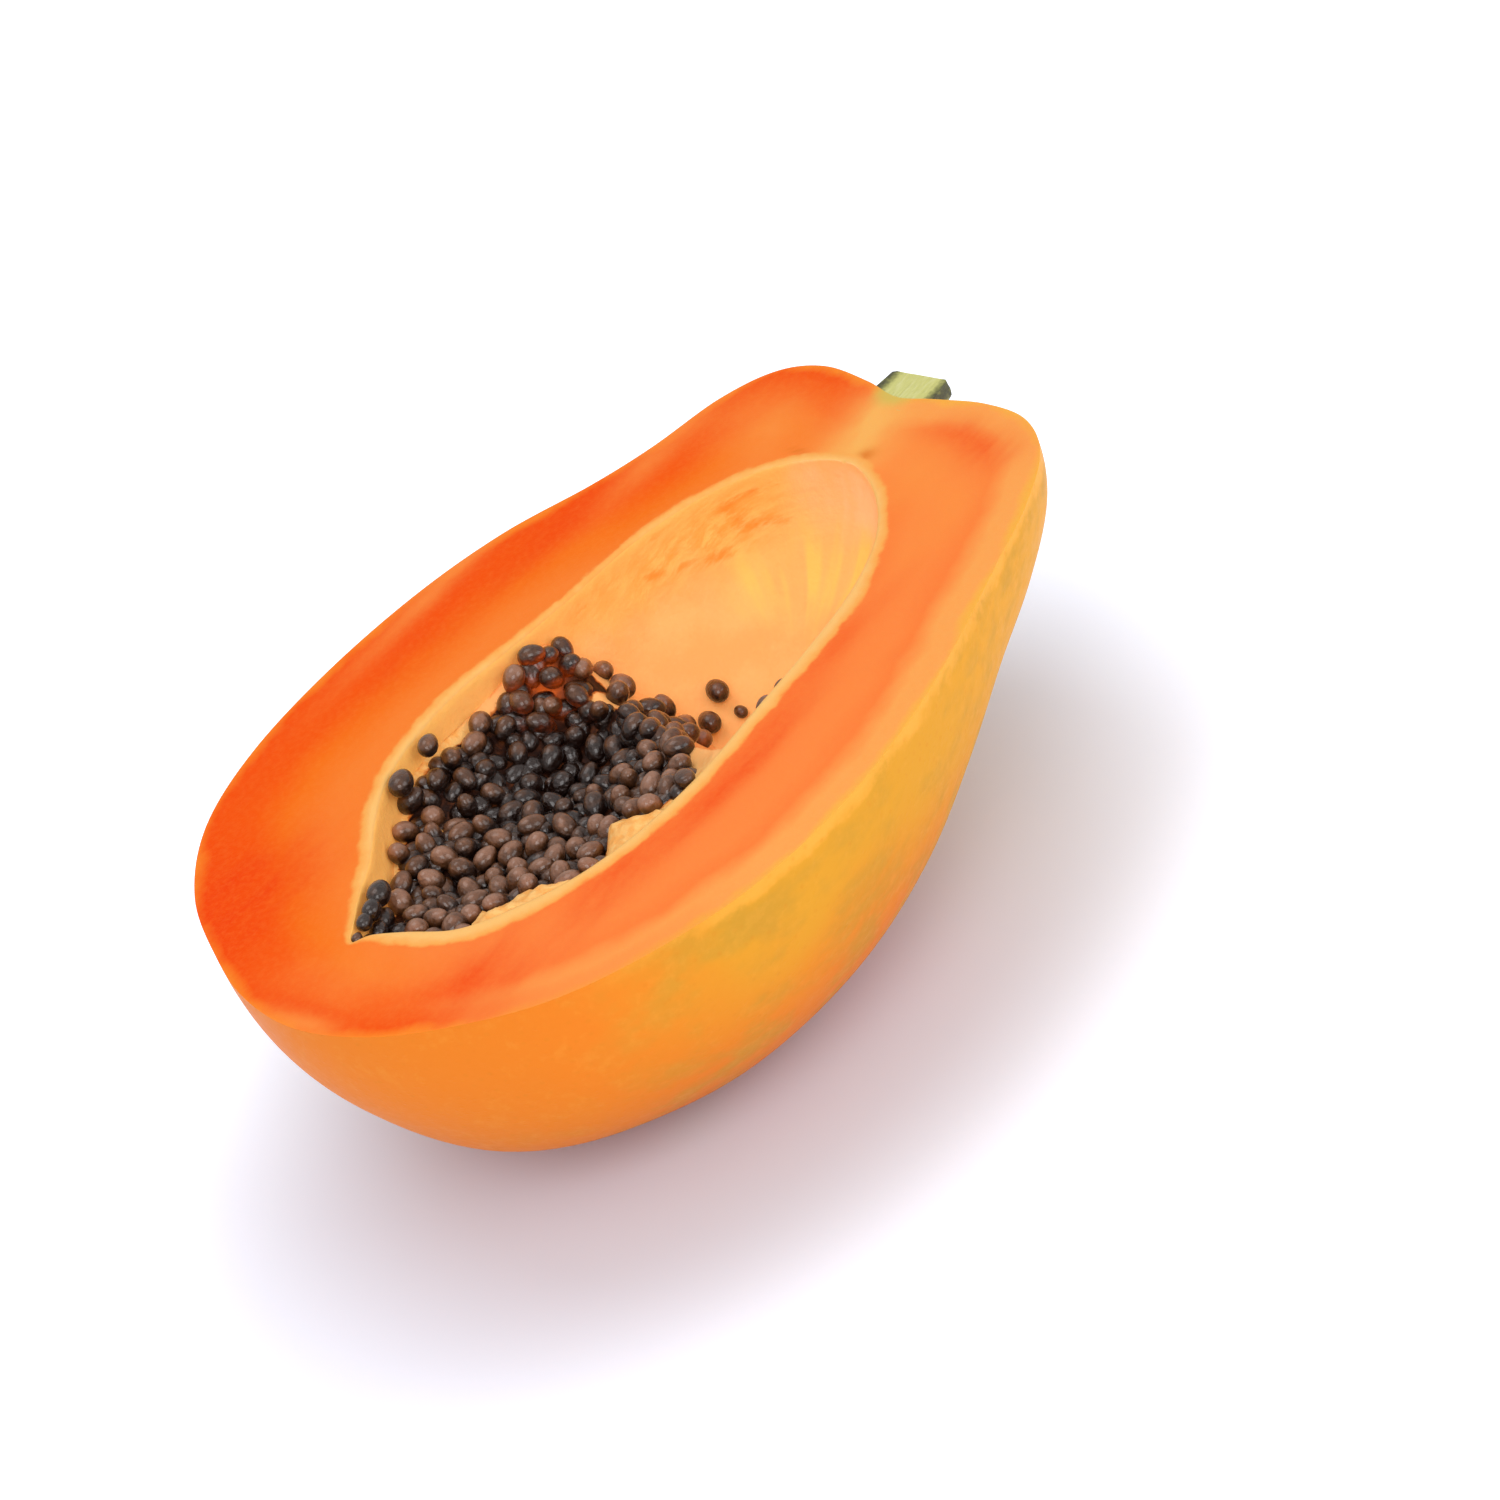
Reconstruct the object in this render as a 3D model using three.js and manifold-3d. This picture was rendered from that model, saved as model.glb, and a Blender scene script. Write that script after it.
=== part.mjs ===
// Half of a ripe papaya, cut lengthwise, with its seeds and a stub of the stem.
// Millimetres, +Z up. The cut face is level, and X runs along the fruit towards the stem.
// The origin is the middle of the small flat spot underneath, on which the half rests.

import * as THREE from 'three';
import { mergeVertices } from 'three/addons/utils/BufferGeometryUtils.js';
import Module from 'manifold-3d';

const wasm = await Module();
wasm.setup();

// ---- Driving dimensions. X is counted from the blossom tip, Z from the cut face. ----

// Outline of the cut face, as [X, Y] from the blossom tip round to the stem and back.
const BLOSSOM_TIP = [0, 0];
const STEM_BASE = [190, 0];
const FAR_RIM = [
  [3, 15.5], [10, 30], [22, 47.5], [39, 60.5], [60, 66.8], [85, 68], [110, 65.3],
  [131, 59.3], [149, 50], [163, 44.5], [180, 40], [191, 33], [195, 23], [193, 10],
];
const NEAR_RIM = [
  [2.5, -15.5], [9.5, -30], [22, -46], [39, -57.5], [60, -65.7], [85, -68.5], [110, -66.2],
  [131, -61.2], [150, -55.5], [167, -50.3], [182, -43], [190.5, -33], [192.7, -21], [191.3, -9],
];
const TIP_DEPTH_RATIO = 1.12; // depth below the cut over half width, at the blossom tip
const BELLY_DEPTH_RATIO = 1.04;
const STEM_DEPTH_RATIO = 0.82;
const TIP_END = 50; // where the blossom end passes into the belly
const BELLY_END = 95; // where the belly starts to narrow towards the stem
const LOBE_COUNT = 5;
const LOBE_HEIGHT = 1.4; // at the stem end, and nothing at the tip
const REST_DEPTH = 70; // cut face to the flat spot
const REST_X = 90; // under the centre of mass

// Opening of the seed cavity in the cut face. Its blossom end runs out in a narrow slit.
const CAVITY_TIP = [22.5, 5];
const CAVITY_END = [169.5, -2];
const CAVITY_FAR = [
  [27, 8.3], [33, 12.5], [42, 17.5], [52, 25], [62, 31], [74, 34], [88, 34.6],
  [104, 32], [120, 29.8], [136, 28], [150, 23.5], [160, 17], [167, 8.5],
];
const CAVITY_NEAR = [
  [25.5, 2.4], [28.5, -4], [32.5, -14], [41, -21.5], [52, -28], [66, -32], [82, -33.4],
  [100, -32.6], [118, -31.6], [135, -29.6], [149, -25], [159, -18.5], [166.5, -10],
];
const CAVITY_DEPTH_RATIO = 1.08;

// Low ridges along the bare part of the cavity wall, knobbly where seeds have come off.
const RIDGE_ANGLES = [20, 92, 160].map(THREE.MathUtils.degToRad);
const RIDGE_WIDTH = THREE.MathUtils.degToRad(9);
const RIDGE_HEIGHT = 1.1;
const RIDGE_START = [100, 115]; // from nothing to full height along X
const RIDGE_STOP = [142, 162]; // and back to nothing
const KNOB_PITCH = 8.5;
const KNOB_SHARE = 0.45; // of a ridge's height, above and below its middle height
const RIDGE_SHARE = 0.55;

// Top of the seed heap: a shallow uneven bowl with a deeper pit, lower along the far wall.
// At the stem end it falls away from a slanting brow.
const HEAP_MIDDLE = [74, 1];
const HEAP_REACH = [52, 34]; // half length and half width of the bowl
const HEAP_RIM = -3.2;
const HEAP_TILT = 0.06;
const HEAP_HOLLOW = 10;
const HEAP_UNEVENNESS = 1.2; // height of the waves along X and Y
const WAVE_X = { length: 5.2, start: 0.6 }; // mm for a radian, and radians at the tip
const WAVE_Y = { length: 4.4, start: 1.1 };
const PIT_MIDDLE = [90, 12];
const PIT_RADIUS = 13;
const PIT_DEPTH = 8;
const BROW_X = 100; // where the brow crosses the axis
const BROW_SLANT = 0.29;
const BROW_SLOPE = 1.6;
const CORE_PLAN = [110, 76]; // blank from which the core is trimmed
const CORE_MIDDLE_X = 73;
const HEAP_FLOOR = -60; // below the cavity, which trims the heap
const HEAP_GAP = 0.4; // clear space between the heap and the cavity wall

// Seeds in their skins, spread with the widest spacing first.
const SEED_LENGTHS = [5.6, 6.8];
const SEED_SLIMNESS = 0.82;
const SEED_LIFT = 1.7; // centre above the heap's surface
const SEED_TURNS = [[-3, 3], [-0.7, 0.7], [-3, 3]]; // radians about X, Y and Z
const SEED_FIELD = { x: [26, 128], y: [-34, 34] };
const SEED_MARGIN = 2.4; // from the cavity wall
const SPACINGS = [6.2, 5.6, 5.1, 4.7];
const DARTS = 2000; // tries at each spacing
const RANDOM_SEED = 20261124;
const BARE_PATCHES = [
  { x: 99, y: 22, radius: 4.2 }, { x: 63, y: 21.5, radius: 3.8 }, { x: 66, y: -29, radius: 5.5 },
  { x: 40, y: -20, radius: 5 },
];
const BARE_PATCH_DEPTH = 3;
const SLIT_SEEDS = [[33.5, 9.2, 6.4], [30, 6.6, 5.2], [26.3, 5.6, 4.2]]; // X, Y, length
const SLIT_TURN = [0, 0, 0.5];

// Single seeds that stick to the bare wall: X, degrees round from the far rim, length.
const STRAY_SEEDS = [[127.5, 66, 6.4], [120.8, 72, 6.2], [126.5, 79, 3.6], [107, 176, 4.6], [112, 176, 4]];
const STRAY_SINK = 0.7; // into the wall

// Stub of the stem, cut through with the fruit.
const STEM_RADIUS = 8.6;
const STEM_FLARE = 1.5;
const STEM_TOP = 197.5;
const STEM_ROOT = 184;
const STEM_Y = -2;
const STEM_SIDES = 18;
const STEM_GAP = 0.35;

// Facets round and along each wrapped solid.
const FRUIT_FACETS = [44, 44];
const CAVITY_FACETS = [44, 46];
const HEAP_FACETS = [28, 46];
const HEAP_TOP_FACETS = [22, 14];
const CAVITY_STATIONS = 90; // crossings looked at for the one beside a point
const SKIN_STEP = 0.004; // share of the way over which a skin's slope is measured
const WELD = 1e-4;
const ALONG_ERROR = 1e-5;
const LARGE = 400;

// ---- Solids ----

/** A joinable solid from a closed geometry. */
function toSolid(geometry) {
  const bare = geometry.clone();
  bare.deleteAttribute('normal');
  bare.deleteAttribute('uv');
  const welded = mergeVertices(bare, WELD);
  return new wasm.Manifold(new wasm.Mesh({
    numProp: 3,
    vertProperties: new Float32Array(welded.attributes.position.array),
    triVerts: new Uint32Array(welded.index.array),
  }));
}

/** The geometry of a solid's largest piece, without sealed hollows or loose scraps. */
function toGeometry(solid) {
  const pieces = solid.decompose().sort((a, b) => b.volume() - a.volume());
  const mesh = pieces[0].getMesh();
  const geometry = new THREE.BufferGeometry();
  geometry.setAttribute('position', new THREE.BufferAttribute(mesh.vertProperties, 3));
  geometry.setIndex(new THREE.BufferAttribute(mesh.triVerts, 1));
  return geometry;
}

/** A closed solid whose skin is a function of the share along (0 to 1) and the angle around. */
function wrappedSolid(pointAt, [aroundFacets, alongFacets]) {
  const geometry = new THREE.SphereGeometry(1, aroundFacets, alongFacets);
  const { position, uv } = geometry.attributes;
  for (let i = 0; i < position.count; i++) {
    const point = pointAt(1 - uv.getY(i), uv.getX(i) * 2 * Math.PI);
    position.setXYZ(i, point.x, point.y, point.z);
  }
  return toSolid(geometry);
}

/** A box from its lowest and highest corners. */
function block(low, high) {
  const size = high.map((value, axis) => value - low[axis]);
  const geometry = new THREE.BoxGeometry(...size);
  geometry.translate(...low.map((value, axis) => value + size[axis] / 2));
  return toSolid(geometry);
}

// ---- Form of the fruit and its cavity ----

/** A smooth closed outline through the two ends and the points on both sides. */
function outline(start, farSide, end, nearSide) {
  const around = [start, ...farSide, end, ...nearSide.toReversed()];
  const points = around.map(([x, y]) => new THREE.Vector3(x, y, 0));
  return new THREE.CatmullRomCurve3(points, true, 'catmullrom', 0.5);
}

const fruitRim = outline(BLOSSOM_TIP, FAR_RIM, STEM_BASE, NEAR_RIM);
const cavityRim = outline(CAVITY_TIP, CAVITY_FAR, CAVITY_END, CAVITY_NEAR);

/** At a share along an outline, the middle between its sides and the way from there to the far side. */
function crossing(rim, along) {
  const far = rim.getPoint(along / 2);
  const near = rim.getPoint(1 - along / 2);
  return {
    middle: far.clone().add(near).multiplyScalar(0.5),
    across: far.clone().sub(near).multiplyScalar(0.5),
  };
}

/** A point on the elliptic section that hangs from an outline, grown outwards by a relief. */
function sectionPoint(rim, depthRatio, relief, along, around) {
  const { middle, across } = crossing(rim, along);
  const halfWidth = across.length();
  const x = middle.x + across.x * Math.cos(around);
  const grown = halfWidth > 0 ? 1 + relief(x, around) / Math.max(halfWidth, 1) : 1;
  const point = middle.addScaledVector(across, Math.cos(around) * grown);
  point.z = -halfWidth * depthRatio(x) * Math.sin(around) * grown;
  return point;
}

function fruitDepthRatio(x) {
  const { lerp, smoothstep } = THREE.MathUtils;
  const tipToBelly = lerp(TIP_DEPTH_RATIO, BELLY_DEPTH_RATIO, smoothstep(x, 0, TIP_END));
  return lerp(tipToBelly, STEM_DEPTH_RATIO, smoothstep(x, BELLY_END, STEM_BASE[0]));
}

/** Soft lobes round the fruit, which fade at the rim so that the outline holds. */
function lobeRelief(x, around) {
  const fade = Math.sin(around) ** 2 * THREE.MathUtils.smoothstep(x, BELLY_END, STEM_BASE[0]);
  return LOBE_HEIGHT * fade * Math.cos(LOBE_COUNT * around + Math.PI / 2);
}

/** Knobbly ridges that stand into the cavity, where it holds no seeds. */
function ridgeRelief(x, around) {
  const { smoothstep } = THREE.MathUtils;
  const bare = smoothstep(x, ...RIDGE_START) - smoothstep(x, ...RIDGE_STOP);
  const knob = RIDGE_SHARE + KNOB_SHARE * Math.sin((2 * Math.PI * x) / KNOB_PITCH);
  const belowRim = Math.acos(Math.cos(around)); // the half above the cut mirrors the other
  const nearest = Math.min(...RIDGE_ANGLES.map((angle) => Math.abs(belowRim - angle)));
  return -RIDGE_HEIGHT * bare * knob * Math.exp(-((nearest / RIDGE_WIDTH) ** 2));
}

const fruitPoint = (along, around) => sectionPoint(fruitRim, fruitDepthRatio, lobeRelief, along, around);
const cavityPoint = (along, around) =>
  sectionPoint(cavityRim, () => CAVITY_DEPTH_RATIO, ridgeRelief, along, around);

/** The same skin moved out along its normal, or in where the distance is negative. */
function offsetSkin(pointAt, distance) {
  return (along, around) => {
    const place = pointAt(along, around);
    if (along === 0 || along === 1) return place.setX(place.x + (along === 0 ? -distance : distance));
    const middle = THREE.MathUtils.clamp(along, 2 * SKIN_STEP, 1 - 2 * SKIN_STEP);
    const lengthwise = pointAt(middle + SKIN_STEP, around).sub(pointAt(middle - SKIN_STEP, around));
    const crosswise = pointAt(middle, around + SKIN_STEP).sub(pointAt(middle, around - SKIN_STEP));
    const normal = lengthwise.cross(crosswise).normalize();
    return place.addScaledVector(normal, distance);
  };
}

const belowCut = block([-LARGE, -LARGE, -LARGE], [LARGE, LARGE, 0]);
const aboveFloor = block([-LARGE, -LARGE, -REST_DEPTH], [LARGE, LARGE, LARGE]);

// ---- Seeds ----

/** Repeatable random numbers from 0 to 1. */
function randomNumbers(seed) {
  let state = seed;
  return () => {
    state = (Math.imul(state, 1664525) + 1013904223) >>> 0;
    return state / 2 ** 32;
  };
}

/** One seed: a slim ovoid, turned as it lies. */
function seedSolid(place, length, turn) {
  const geometry = new THREE.IcosahedronGeometry(length / 2);
  geometry.scale(1, SEED_SLIMNESS, SEED_SLIMNESS);
  geometry.applyMatrix4(new THREE.Matrix4().makeRotationFromEuler(new THREE.Euler(...turn)));
  geometry.translate(place.x, place.y, place.z);
  return toSolid(geometry);
}

/** Height of the heap's top over the plan, from the cut face. */
function heapTop(x, y) {
  const bowl = ((x - HEAP_MIDDLE[0]) / HEAP_REACH[0]) ** 2 + ((y - HEAP_MIDDLE[1]) / HEAP_REACH[1]) ** 2;
  const pit = ((x - PIT_MIDDLE[0]) ** 2 + (y - PIT_MIDDLE[1]) ** 2) / PIT_RADIUS ** 2;
  let top = HEAP_RIM - HEAP_TILT * y - HEAP_HOLLOW * Math.max(0, 1 - bowl) - PIT_DEPTH * Math.exp(-pit);
  const waves = Math.sin(x / WAVE_X.length + WAVE_X.start) * Math.sin(y / WAVE_Y.length + WAVE_Y.start);
  top += HEAP_UNEVENNESS * waves;
  for (const patch of BARE_PATCHES) {
    const away = Math.hypot(x - patch.x, y - patch.y) / patch.radius;
    top -= BARE_PATCH_DEPTH * Math.exp(-(away ** 2));
  }
  return top - BROW_SLOPE * Math.max(0, x - BROW_X - BROW_SLANT * y);
}

/** Whether a point keeps a margin from the smooth cavity wall. */
function insideCavity(point, margin) {
  let nearest = null;
  for (let i = 1; i < CAVITY_STATIONS; i++) {
    const { middle, across } = crossing(cavityRim, i / CAVITY_STATIONS);
    const away = Math.abs(middle.x + (across.x / across.y) * (point.y - middle.y) - point.x);
    if (nearest === null || away < nearest.away) nearest = { away, middle, radius: across.length() };
  }
  const sideways = (point.y - nearest.middle.y) / nearest.radius;
  const down = point.z / (nearest.radius * CAVITY_DEPTH_RATIO);
  return Math.hypot(sideways, down) < 1 - margin / nearest.radius;
}

/** Places and sizes of the heap's seeds, spread over its top. */
function scatterSeeds() {
  const random = randomNumbers(RANDOM_SEED);
  const between = ([low, high]) => low + (high - low) * random();
  const seeds = SLIT_SEEDS.map(([x, y, length]) => ({
    place: new THREE.Vector3(x, y, heapTop(x, y)), length, turn: SLIT_TURN,
  }));
  for (const spacing of SPACINGS) {
    for (let dart = 0; dart < DARTS; dart++) {
      const [x, y] = [between(SEED_FIELD.x), between(SEED_FIELD.y)];
      const length = between(SEED_LENGTHS);
      const turn = SEED_TURNS.map(between);
      const place = new THREE.Vector3(x, y, heapTop(x, y));
      if (BARE_PATCHES.some((patch) => Math.hypot(x - patch.x, y - patch.y) < patch.radius)) continue;
      if (seeds.some((seed) => seed.place.distanceTo(place) < spacing)) continue;
      if (insideCavity(place, SEED_MARGIN)) seeds.push({ place, length, turn });
    }
  }
  return seeds;
}

/** Share along the cavity at which its middle line reaches an X. */
function alongAt(x) {
  let [low, high] = [0, 1];
  while (high - low > ALONG_ERROR) {
    const share = (low + high) / 2;
    if (crossing(cavityRim, share).middle.x < x) low = share;
    else high = share;
  }
  return low;
}

// ---- The three sub-parts ----

/** Flesh and skin in one piece: the cut fruit, hollow, flat where it rests, with stray seeds. */
function papayaHalf() {
  const hollowed = wrappedSolid(fruitPoint, FRUIT_FACETS)
    .intersect(belowCut)
    .subtract(wrappedSolid(cavityPoint, CAVITY_FACETS))
    .intersect(aboveFloor);
  const strays = STRAY_SEEDS.map(([x, degrees, length]) => {
    const around = THREE.MathUtils.degToRad(degrees);
    const offWall = STRAY_SINK - (length * SEED_SLIMNESS) / 2;
    const place = offsetSkin(cavityPoint, offWall)(alongAt(x), around);
    return seedSolid(place, length, [0, 0, around]);
  });
  return wasm.Manifold.union([hollowed, ...strays]);
}

/** The heap: a core that fills the cavity up to the heap's top, with the seeds that show. */
function seedHeap() {
  const room = wrappedSolid(offsetSkin(cavityPoint, -HEAP_GAP), HEAP_FACETS);
  const core = new THREE.BoxGeometry(...CORE_PLAN, 2, ...HEAP_TOP_FACETS, 1);
  core.translate(CORE_MIDDLE_X, 0, 0);
  const { position } = core.attributes;
  for (let i = 0; i < position.count; i++) {
    const [x, y] = [position.getX(i), position.getY(i)];
    position.setZ(i, position.getZ(i) > 0 ? heapTop(x, y) : HEAP_FLOOR);
  }
  const seeds = scatterSeeds().map(({ place, length, turn }) => {
    place.z += SEED_LIFT;
    return seedSolid(place, length, turn);
  });
  return wasm.Manifold.union([toSolid(core), ...seeds]).intersect(room);
}

/** The stem stub: half a short flared drum in the dimple, clear of the flesh. */
function stemStub() {
  const drum = new THREE.CylinderGeometry(
    STEM_RADIUS, STEM_RADIUS + STEM_FLARE, STEM_TOP - STEM_ROOT, STEM_SIDES);
  drum.rotateZ(-Math.PI / 2);
  drum.translate((STEM_TOP + STEM_ROOT) / 2, STEM_Y, 0);
  return toSolid(drum)
    .intersect(belowCut)
    .subtract(wrappedSolid(offsetSkin(fruitPoint, STEM_GAP), FRUIT_FACETS));
}

function subPart(name, solid, color, roughness) {
  const material = new THREE.MeshStandardMaterial({ color, roughness, metalness: 0 });
  const mesh = new THREE.Mesh(toGeometry(solid), material);
  mesh.name = name;
  return mesh;
}

const papaya = new THREE.Group();
papaya.add(
  subPart('papaya_half', papayaHalf(), 0xfd7b38, 0.45),
  subPart('seed_heap', seedHeap(), 0x33241f, 0.3),
  subPart('stem', stemStub(), 0xb9b56c, 0.7),
);
papaya.position.set(-REST_X, 0, REST_DEPTH);

export default papaya;
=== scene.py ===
"""Half of a ripe papaya, cut lengthwise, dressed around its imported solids.

Places on the fruit are counted in millimetres from the cut: X from the blossom tip towards the stem,
Y across, and Z up from the cut face. The bench turns them into the frame's metres.
"""

import logging
import math
from dataclasses import dataclass
from enum import Enum
from functools import cached_property
from typing import Any, Callable, Sequence

import bmesh
import bpy
import numpy as np
from mathutils import Euler, Matrix, Vector, noise


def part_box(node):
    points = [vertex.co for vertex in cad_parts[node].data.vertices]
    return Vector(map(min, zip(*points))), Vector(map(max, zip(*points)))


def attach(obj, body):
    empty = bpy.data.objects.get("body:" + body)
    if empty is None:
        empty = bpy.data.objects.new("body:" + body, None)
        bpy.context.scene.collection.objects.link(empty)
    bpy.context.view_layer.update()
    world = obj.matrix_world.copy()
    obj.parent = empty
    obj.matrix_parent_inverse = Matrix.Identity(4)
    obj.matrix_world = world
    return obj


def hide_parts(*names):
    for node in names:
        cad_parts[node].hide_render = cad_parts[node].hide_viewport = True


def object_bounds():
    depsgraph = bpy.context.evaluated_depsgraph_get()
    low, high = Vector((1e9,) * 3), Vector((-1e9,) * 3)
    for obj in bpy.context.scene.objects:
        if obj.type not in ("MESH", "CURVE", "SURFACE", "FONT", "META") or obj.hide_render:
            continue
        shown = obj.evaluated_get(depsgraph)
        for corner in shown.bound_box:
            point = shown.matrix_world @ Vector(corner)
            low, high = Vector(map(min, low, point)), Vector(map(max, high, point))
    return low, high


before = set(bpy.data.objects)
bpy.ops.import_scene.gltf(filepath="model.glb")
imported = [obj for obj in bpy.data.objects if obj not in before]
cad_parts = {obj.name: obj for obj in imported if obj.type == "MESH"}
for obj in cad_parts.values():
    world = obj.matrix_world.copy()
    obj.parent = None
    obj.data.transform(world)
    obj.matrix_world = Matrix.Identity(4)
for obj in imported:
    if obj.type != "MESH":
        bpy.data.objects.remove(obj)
PACKED_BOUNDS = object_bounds()

log = logging.getLogger("papaya")

MM = 0.001
FULL_TURN = 2 * math.pi

Point = tuple[float, float]
Size = tuple[float, float, float]
Colour = tuple[float, float, float, float]


# ---- Small tools ----


def tint(red: int, green: int, blue: int) -> Colour:
    """A colour as the shader takes it.

    Args:
        red: Red as seen on a screen, 0 to 255.
        green: Green, 0 to 255.
        blue: Blue, 0 to 255.

    Returns:
        The linear colour, with full alpha.
    """
    def linear(level: int) -> float:
        """One channel, unrolled from the screen's curve."""
        share = level / 255
        return share / 12.92 if share <= 0.04045 else ((share + 0.055) / 1.055) ** 2.4

    return linear(red), linear(green), linear(blue), 1.0


def lerp(start: float, stop: float, share: float) -> float:
    """A number between two others."""
    return start + (stop - start) * share


def smoothstep(value: float, start: float, stop: float) -> float:
    """A soft rise from 0 at start to 1 at stop."""
    share = min(max((value - start) / (stop - start), 0.0), 1.0)
    return share * share * (3 - 2 * share)


def stand(name: str, data: bpy.types.ID) -> bpy.types.Object:
    """Stand an object in the scene.

    Args:
        name: Its name.
        data: Its mesh, light or camera.

    Returns:
        The object.
    """
    made = bpy.data.objects.new(name, data)
    bpy.context.scene.collection.objects.link(made)
    return made


def meshed(name: str, shape: bmesh.types.BMesh) -> bpy.types.Mesh:
    """Turn a shape into a mesh.

    Args:
        name: The mesh's name.
        shape: The shape, which is used up.

    Returns:
        The mesh.
    """
    mesh = bpy.data.meshes.new(name)
    shape.to_mesh(mesh)
    shape.free()
    return mesh


class RandomNumbers:
    """Repeatable random numbers from 0 to 1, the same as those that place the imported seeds."""

    MULTIPLIER = 1664525
    INCREMENT = 1013904223
    MODULUS = 2 ** 32

    def __init__(self, seed: int) -> None:
        """Start the row at a seed."""
        self.state = seed

    def next(self) -> float:
        """The next number."""
        self.state = (self.state * self.MULTIPLIER + self.INCREMENT) % self.MODULUS
        return self.state / self.MODULUS

    def between(self, low: float, high: float) -> float:
        """The next number, stretched to a range."""
        return low + (high - low) * self.next()


class Region(Enum):
    """Surfaces of the half, by their material slot."""

    SKIN = 0
    FLESH = 1
    LINING = 2


@dataclass(frozen=True)
class Bench:
    """Where the fruit lies in the frame.

    Attributes:
        tip: X of the blossom tip, in metres.
        cut: Height of the cut face, in metres.
    """

    tip: float
    cut: float

    @classmethod
    def from_frame(cls) -> "Bench":
        """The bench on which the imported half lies."""
        low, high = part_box("papaya_half")
        return cls(tip=low.x, cut=high.z)

    @property
    def origin(self) -> Vector:
        """The blossom tip in the cut face, in metres."""
        return Vector((self.tip, 0, self.cut))

    @property
    def matrix(self) -> Matrix:
        """Turns millimetres on the fruit into metres in the frame."""
        return Matrix.Translation(self.origin) @ Matrix.Scale(MM, 4)

    def finish(self, shape: bmesh.types.BMesh, name: str, finishes: Sequence[bpy.types.Material],
               slot: str, *nodes: str) -> bpy.types.Object:
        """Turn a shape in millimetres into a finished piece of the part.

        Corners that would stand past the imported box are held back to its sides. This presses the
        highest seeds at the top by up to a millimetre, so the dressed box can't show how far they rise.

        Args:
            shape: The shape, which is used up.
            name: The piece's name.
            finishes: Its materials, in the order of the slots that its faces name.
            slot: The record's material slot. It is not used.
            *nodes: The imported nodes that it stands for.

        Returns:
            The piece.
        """
        bmesh.ops.transform(shape, matrix=self.matrix, verts=shape.verts)
        for corner in shape.verts:
            corner.co = [min(max(value, low), high) for value, low, high in zip(corner.co, *PACKED_BOUNDS)]
        piece = stand(name, meshed(name, shape))
        for finish in finishes:
            piece.data.materials.append(finish)
        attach(piece, "root")
        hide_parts(*nodes)
        return piece


def note_field(piece: bpy.types.Object, name: str, values: np.ndarray) -> None:
    """Keep one number for each corner point of a piece, for its material to read.

    Args:
        piece: The piece.
        name: The field's name.
        values: One number for each point, in order.
    """
    field = piece.data.attributes.new(name, "FLOAT", "POINT")
    field.data.foreach_set("value", values.astype(np.float32))


def corner_points(piece: bpy.types.Object, bench: Bench) -> np.ndarray:
    """The corner points of a piece in millimetres on the fruit.

    Args:
        piece: The piece.
        bench: Where the fruit lies.

    Returns:
        The points, one a row.
    """
    flat = np.empty(len(piece.data.vertices) * 3)
    piece.data.vertices.foreach_get("co", flat)
    return (flat.reshape(-1, 3) - np.array(bench.origin)) / MM


# ---- Form of the fruit ----


@dataclass(frozen=True)
class Outline:
    """A smooth closed line in the cut face, through given points.

    Attributes:
        start: Its end at the blossom.
        far: Points along the far side, towards the stem.
        end: Its end at the stem.
        near: Points along the near side, towards the stem.
    """

    start: Point
    far: tuple[Point, ...]
    end: Point
    near: tuple[Point, ...]

    @cached_property
    def knots(self) -> tuple[Point, ...]:
        """The points in order round the line."""
        return (self.start, *self.far, self.end, *reversed(self.near))

    def point(self, share: float) -> Vector:
        """A place on the line.

        Args:
            share: Share of the way round, by number of points.

        Returns:
            The place, in the cut face.
        """
        count = len(self.knots)
        knot, away = divmod(share * count, 1.0)
        before, here, ahead, beyond = (
            Vector(self.knots[(int(knot) + step) % count]) for step in (-1, 0, 1, 2))
        leaving = (ahead - before) / 2
        arriving = (beyond - here) / 2
        place = (here + leaving * away + (3 * (ahead - here) - 2 * leaving - arriving) * away ** 2
                 + (2 * (here - ahead) + leaving + arriving) * away ** 3)
        return place.to_3d()

    def crossing(self, along: float) -> tuple[Vector, Vector]:
        """The line's two sides at a share along it.

        Args:
            along: 0 at the blossom, 1 at the stem.

        Returns:
            The middle between the sides, and the way from there to the far side.
        """
        far = self.point(along / 2)
        near = self.point(1 - along / 2)
        return (far + near) / 2, (far - near) / 2

    def distance(self, points: np.ndarray, samples: int = 900) -> np.ndarray:
        """How far points in the cut face lie outside the line.

        Args:
            points: One point a row.
            samples: How many straight steps stand for the line.

        Returns:
            Distances, negative inside the line.
        """
        line = np.array([self.point(i / samples)[:2] for i in range(samples)])
        ahead = np.roll(line, -1, axis=0)
        away = np.empty(len(points))
        for row, (x, y) in enumerate(points[:, :2]):
            nearest = np.min((line[:, 0] - x) ** 2 + (line[:, 1] - y) ** 2)
            passed = (line[:, 1] > y) != (ahead[:, 1] > y)
            start, stop = line[passed], ahead[passed]
            climbed = (y - start[:, 1]) / (stop[:, 1] - start[:, 1])
            meets = start[:, 0] + climbed * (stop[:, 0] - start[:, 0])
            inside = np.count_nonzero(meets > x) % 2 == 1
            away[row] = -math.sqrt(nearest) if inside else math.sqrt(nearest)
        return away


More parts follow.
